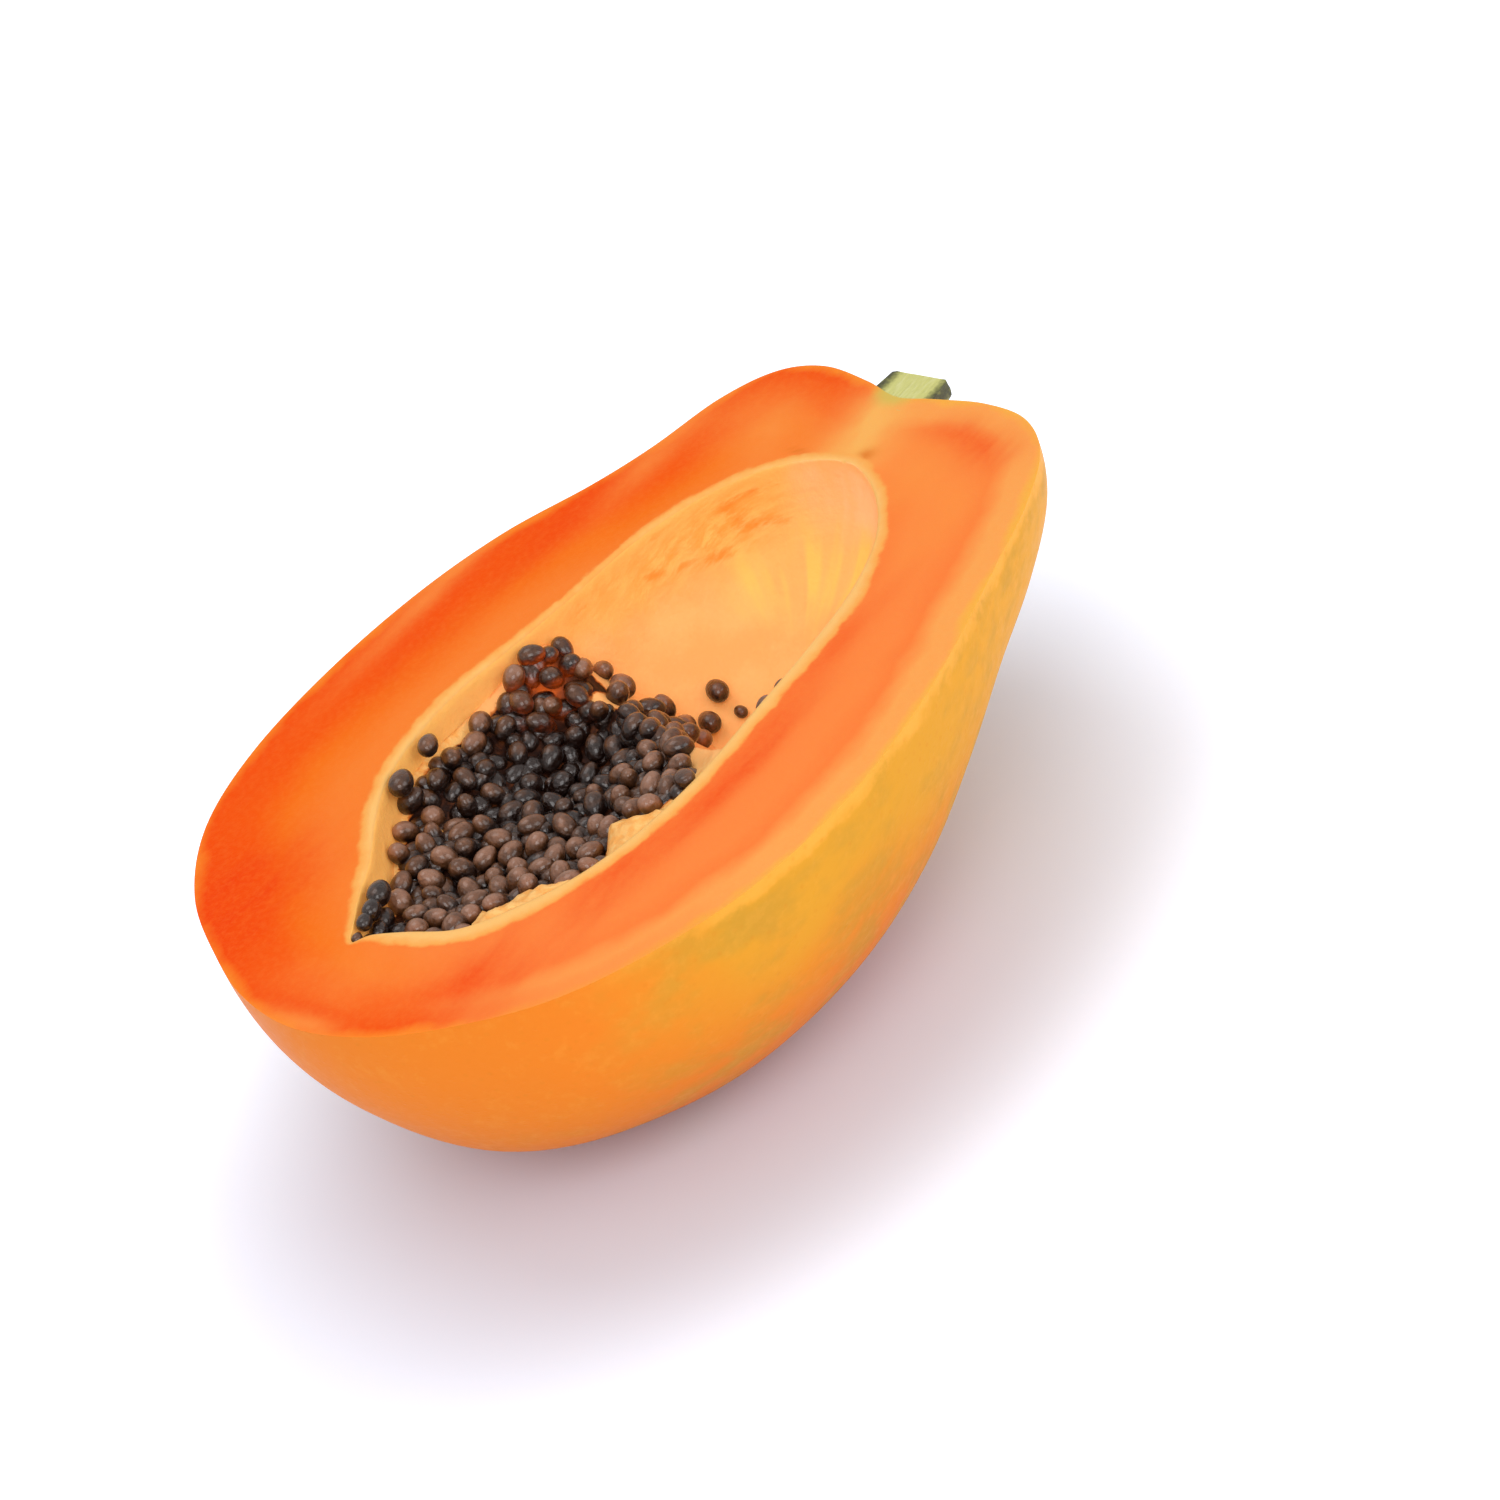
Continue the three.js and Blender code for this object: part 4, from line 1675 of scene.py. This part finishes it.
    def _left_bare(self, place: Vector) -> bool:
        """Whether a place is bare pulp.

        Args:
            place: The place.

        Returns:
            True where no seed lies.
        """
        jag = self.shore_jag * noise.noise(Vector((place.x, place.y, 0)) / self.lengths[0])
        if self.shore.beyond(place.x, place.y) > jag - self.shore_margin:
            return True
        return any(patch.share_at(place.x, place.y) > self.bare_share for patch in self.clearings)

    def _core(self) -> bpy.types.Object:
        """The filled core, trimmed to the cavity.

        Returns:
            The piece.
        """
        steps = [round(side / self.core_step) for side in self.core_plan]
        blank = bmesh.new()
        bmesh.ops.create_grid(blank, x_segments=steps[0], y_segments=steps[1], size=0.5)
        for corner in blank.verts:
            x = corner.co.x * self.core_plan[0] + self.core_middle_x
            y = corner.co.y * self.core_plan[1]
            corner.co = Vector((x, y, self._core_top(x, y)))
        rim = [edge for edge in blank.edges if edge.is_boundary]
        walls = bmesh.ops.extrude_edge_only(blank, edges=rim)["geom"]
        for corner in (part for part in walls if isinstance(part, bmesh.types.BMVert)):
            corner.co.z = self.core_floor
        bmesh.ops.holes_fill(blank, edges=[edge for edge in blank.edges if edge.is_boundary])
        bmesh.ops.recalc_face_normals(blank, faces=blank.faces)
        room = bmesh.new()
        sheet(room, *self.room_grid, self._room_place, Region.SKIN)
        bmesh.ops.remove_doubles(room, verts=room.verts, dist=self.room_weld)
        bmesh.ops.recalc_face_normals(room, faces=room.faces)
        return self._trimmed(blank, room)

    def _core_top(self, x: float, y: float) -> float:
        """Height of the core's top, with its clearing and its shore.

        Args:
            x: Place along the fruit.
            y: Place across it.

        Returns:
            The height from the cut face.
        """
        top = self.top.height(x, y) + self.clearing_rise * self.clearings[0].share_at(x, y)
        return lerp(top, self.shore.height(x, y), self.shore.share(x, y))

    def _room_place(self, along: float, across: float) -> Vector:
        """A corner of the room that the core may fill, a little into the cavity's wall."""
        return self.hollow.offset(along, across * FULL_TURN, self.grip)

    def _trimmed(self, blank: bmesh.types.BMesh, room: bmesh.types.BMesh) -> bpy.types.Object:
        """Trim the blank to the room, and dress it.

        Args:
            blank: The core before it is trimmed.
            room: The room that it may fill.

        Returns:
            The piece.
        """
        bodies = [stand("core_blank", meshed("core_blank", blank)),
                  stand("core_room", meshed("core_room", room))]
        trim = bodies[0].modifiers.new("trim", "BOOLEAN")
        trim.operation, trim.solver, trim.object = "INTERSECT", "EXACT", bodies[1]
        trimmed = bmesh.new()
        trimmed.from_object(bodies[0], bpy.context.evaluated_depsgraph_get())
        for body in bodies:
            bpy.data.meshes.remove(body.data)
        for face in trimmed.faces:
            face.smooth = True
            face.material_index = 0
        piece = self.bench.finish(trimmed, "seed_core", [CoreFinish(self.bench).material()],
                                  "papaya_seeds", "seed_heap")
        points = corner_points(piece, self.bench)
        pulp = [self._pulp(Vector(point)) for point in points]
        note_field(piece, "pulp", np.maximum(pulp, sum(patch.share(points) for patch in self.clearings)))
        note_field(piece, "bare", sum(patch.share(points) for patch in self.gaps))
        return piece

    def _pulp(self, place: Vector) -> float:
        """How much pulp shows on the core: along the wall, beyond the brow and on the shore.

        Args:
            place: A place on the core.

        Returns:
            Its share, 0 to 1.
        """
        at_wall = smoothstep(-self._wall_distance(place), -self.seam[0], -self.seam[1])
        at_foot = smoothstep(self.top.beyond_brow(place.x, place.y), *self.foot)
        return max(self.seam_share * at_wall, at_foot, self.shore.bare(place.x, place.y))

    def _wall_distance(self, place: Vector) -> float:
        """About how far a place is from the cavity's wall.

        Args:
            place: The place.

        Returns:
            The distance in millimetres.
        """
        low, high = 0.0, self.wall_search
        while high - low > self.wall_tolerance:
            middle = (low + high) / 2
            if self.hollow.holds(place, middle):
                low = middle
            else:
                high = middle
        return low


@dataclass(frozen=True)
class StraySeeds:
    """Single seeds that stick to the bare wall: X, degrees round from the far rim, length."""

    hollow: HollowForm
    shape: SeedShape
    places: tuple[tuple[float, float, float], ...] = (
        (127.5, 66, 6.4), (120.8, 72, 6.2), (126.5, 79, 3.6), (107, 174.8, 4.6), (112, 174.8, 4))
    sink: float = 0.7
    tones: Point = (0.2, 0.6)
    seed: int = 7

    def build(self) -> bpy.types.Object:
        """Make the seeds.

        Returns:
            The piece.
        """
        random = RandomNumbers(self.seed)
        seeds = []
        for x, degrees, length in self.places:
            around = math.radians(degrees)
            off_wall = self.sink - length * self.shape.slimness / 2
            place = self.hollow.offset(self.hollow.along_at(x), around, off_wall)
            seeds.append(Seed(place, length, (0, 0, around), random.between(*self.tones)))
        return self.shape.join(seeds, "stray_seeds", "papaya_half")


@dataclass(frozen=True)
class StemStub:
    """Half a short flared stub of the stem, cut through with the fruit."""

    bench: Bench
    radius: float = 7.6
    flare: float = 1.2
    top: float = 197.5
    root: float = 186.5
    middle_y: float = -1.2
    sides: int = 56
    rings: int = 8
    ribs: int = 7
    rib_height: float = 0.35
    insets: tuple[float, ...] = (1.0, 2.5, 2.5)  # rings on its ends, from the bark inwards
    roughness: float = 0.5
    rough_pitch: float = 2.5
    worn_share: float = 0.93  # share of the radius beyond which the bark is worn back
    wear: float = 0.5
    below_cut: float = 0.08

    def build(self) -> bpy.types.Object:
        """Make the stub.

        Returns:
            The piece.
        """
        shape = bmesh.new()
        length = self.top - self.root
        bmesh.ops.create_cone(shape, cap_ends=True, cap_tris=False, segments=self.sides,
                              radius1=self.radius + self.flare, radius2=self.radius, depth=length,
                              matrix=Matrix.Rotation(math.pi / 2, 4, "Y"))
        long_edges = [edge for edge in shape.edges
                      if abs(edge.verts[0].co.x - edge.verts[1].co.x) > length / 2]
        bmesh.ops.subdivide_edges(shape, edges=long_edges, cuts=self.rings, use_grid_fill=True)
        ends = [face for face in shape.faces if len(face.verts) == self.sides]
        for inset in self.insets:
            bmesh.ops.inset_region(shape, faces=ends, thickness=inset)
        for corner in shape.verts:
            around = math.atan2(corner.co.z, corner.co.y)
            share = math.hypot(corner.co.y, corner.co.z) / self.radius
            rib = self.rib_height * (math.cos(self.ribs * around) - 1) / self.radius * min(share, 1.0)
            rough = self.roughness * noise.noise(corner.co / self.rough_pitch)
            corner.co.y *= 1 + rib
            corner.co.z *= 1 + rib
            corner.co.x -= abs(rough) + (self.wear if share > self.worn_share else 0.0)
        cut = Vector((0, 0, -self.below_cut))
        bmesh.ops.bisect_plane(shape, geom=[*shape.verts, *shape.edges, *shape.faces],
                               plane_co=cut, plane_no=(0, 0, 1), clear_outer=True)
        bmesh.ops.holes_fill(shape, edges=[edge for edge in shape.edges if edge.is_boundary])
        bmesh.ops.transform(shape, matrix=Matrix.Translation(
            ((self.top + self.root) / 2, self.middle_y, 0)), verts=shape.verts)
        bmesh.ops.recalc_face_normals(shape, faces=shape.faces)
        finish = StemFinish(self.bench, self.middle_y, self.radius + self.flare / 2)
        return self.bench.finish(shape, "stem_stub", [finish.material()], "stem_wood", "stem")


# ---- Stage ----


@dataclass(frozen=True)
class SoftBox:
    """A soft studio light that looks at the fruit.

    Attributes:
        name: Its name.
        place: Where it stands, in metres.
        size: Its side, in metres.
        power: Its power, in watts.
    """

    name: str
    place: tuple[float, float, float]
    size: float
    power: float

    def hang(self, target: Vector) -> None:
        """Put the light up.

        Args:
            target: The place that it is turned to.
        """
        data = bpy.data.lights.new(self.name, "AREA")
        data.shape = "SQUARE"
        data.size = self.size
        data.energy = self.power
        lamp = stand(self.name, data)
        lamp.location = self.place
        lamp.rotation_euler = (target - Vector(self.place)).to_track_quat("-Z", "Y").to_euler()


@dataclass(frozen=True)
class Stage:
    """Floor, light and camera."""

    bench: Bench
    camera_place: tuple[float, float, float] = (-0.5007, -0.6989, 0.6568)
    azimuth: float = math.radians(-37.28)
    elevation: float = math.radians(35.32)
    roll: float = math.radians(-23.36)  # the half lies level here and leaned when it was looked at
    lens: float = 131.3
    floor_side: float = 8.0
    glow: float = 0.6
    boxes: tuple[SoftBox, ...] = (
        SoftBox("key", (-0.75, -0.8, 1.0), 0.7, 5.8),
        SoftBox("fill", (0.35, -1.2, 0.7), 0.8, 4.2),
        SoftBox("top", (0.0, 0.4, 1.3), 0.7, 3.0),
    )

    def set(self) -> None:
        """Lay the floor, hang the lights and stand the camera."""
        self._floor()
        for box in self.boxes:
            box.hang(Vector((0, 0, self.bench.cut / 2)))
        world = bpy.data.worlds.new("studio")
        world.use_nodes = True
        sockets = world.node_tree.nodes["Background"].inputs
        sockets["Color"].default_value = (1, 1, 1, 1)
        sockets["Strength"].default_value = self.glow
        bpy.context.scene.world = world
        bpy.context.scene.view_settings.view_transform = "Standard"
        self._camera()

    def _floor(self) -> None:
        """A plain pale floor."""
        shape = bmesh.new()
        bmesh.ops.create_grid(shape, x_segments=1, y_segments=1, size=self.floor_side / 2)
        floor = stand("floor", meshed("floor", shape))
        floor.data.materials.append(FloorFinish(self.bench).material())

    def _camera(self) -> None:
        """The camera, rolled as the fruit leaned."""
        data = bpy.data.cameras.new("camera")
        data.lens = self.lens
        camera = stand("camera", data)
        camera.matrix_world = (
            Matrix.Translation(self.camera_place) @ Matrix.Rotation(self.azimuth, 4, "Z")
            @ Matrix.Rotation(math.pi / 2 - self.elevation, 4, "X") @ Matrix.Rotation(self.roll, 4, "Z"))
        bpy.context.scene.camera = camera


def main() -> None:
    """Build the half piece by piece."""
    logging.basicConfig(level=logging.INFO, format="%(name)s: %(message)s")
    bench = Bench.from_frame()
    fruit = FruitForm(FRUIT_RIM)
    hollow = HollowForm(CAVITY_LIP)
    seed_shape = SeedShape(bench)
    Stage(bench).set()
    pieces = [PapayaHalf(bench, fruit, hollow).build()]
    pieces += SeedHeap(bench, hollow, HeapTop(), seed_shape).build()
    pieces.append(StraySeeds(hollow, seed_shape).build())
    pieces.append(StemStub(bench).build())
    for piece in pieces:
        log.info("%s: %d corner points", piece.name, len(piece.data.vertices))


if __name__ == "__main__":
    main()
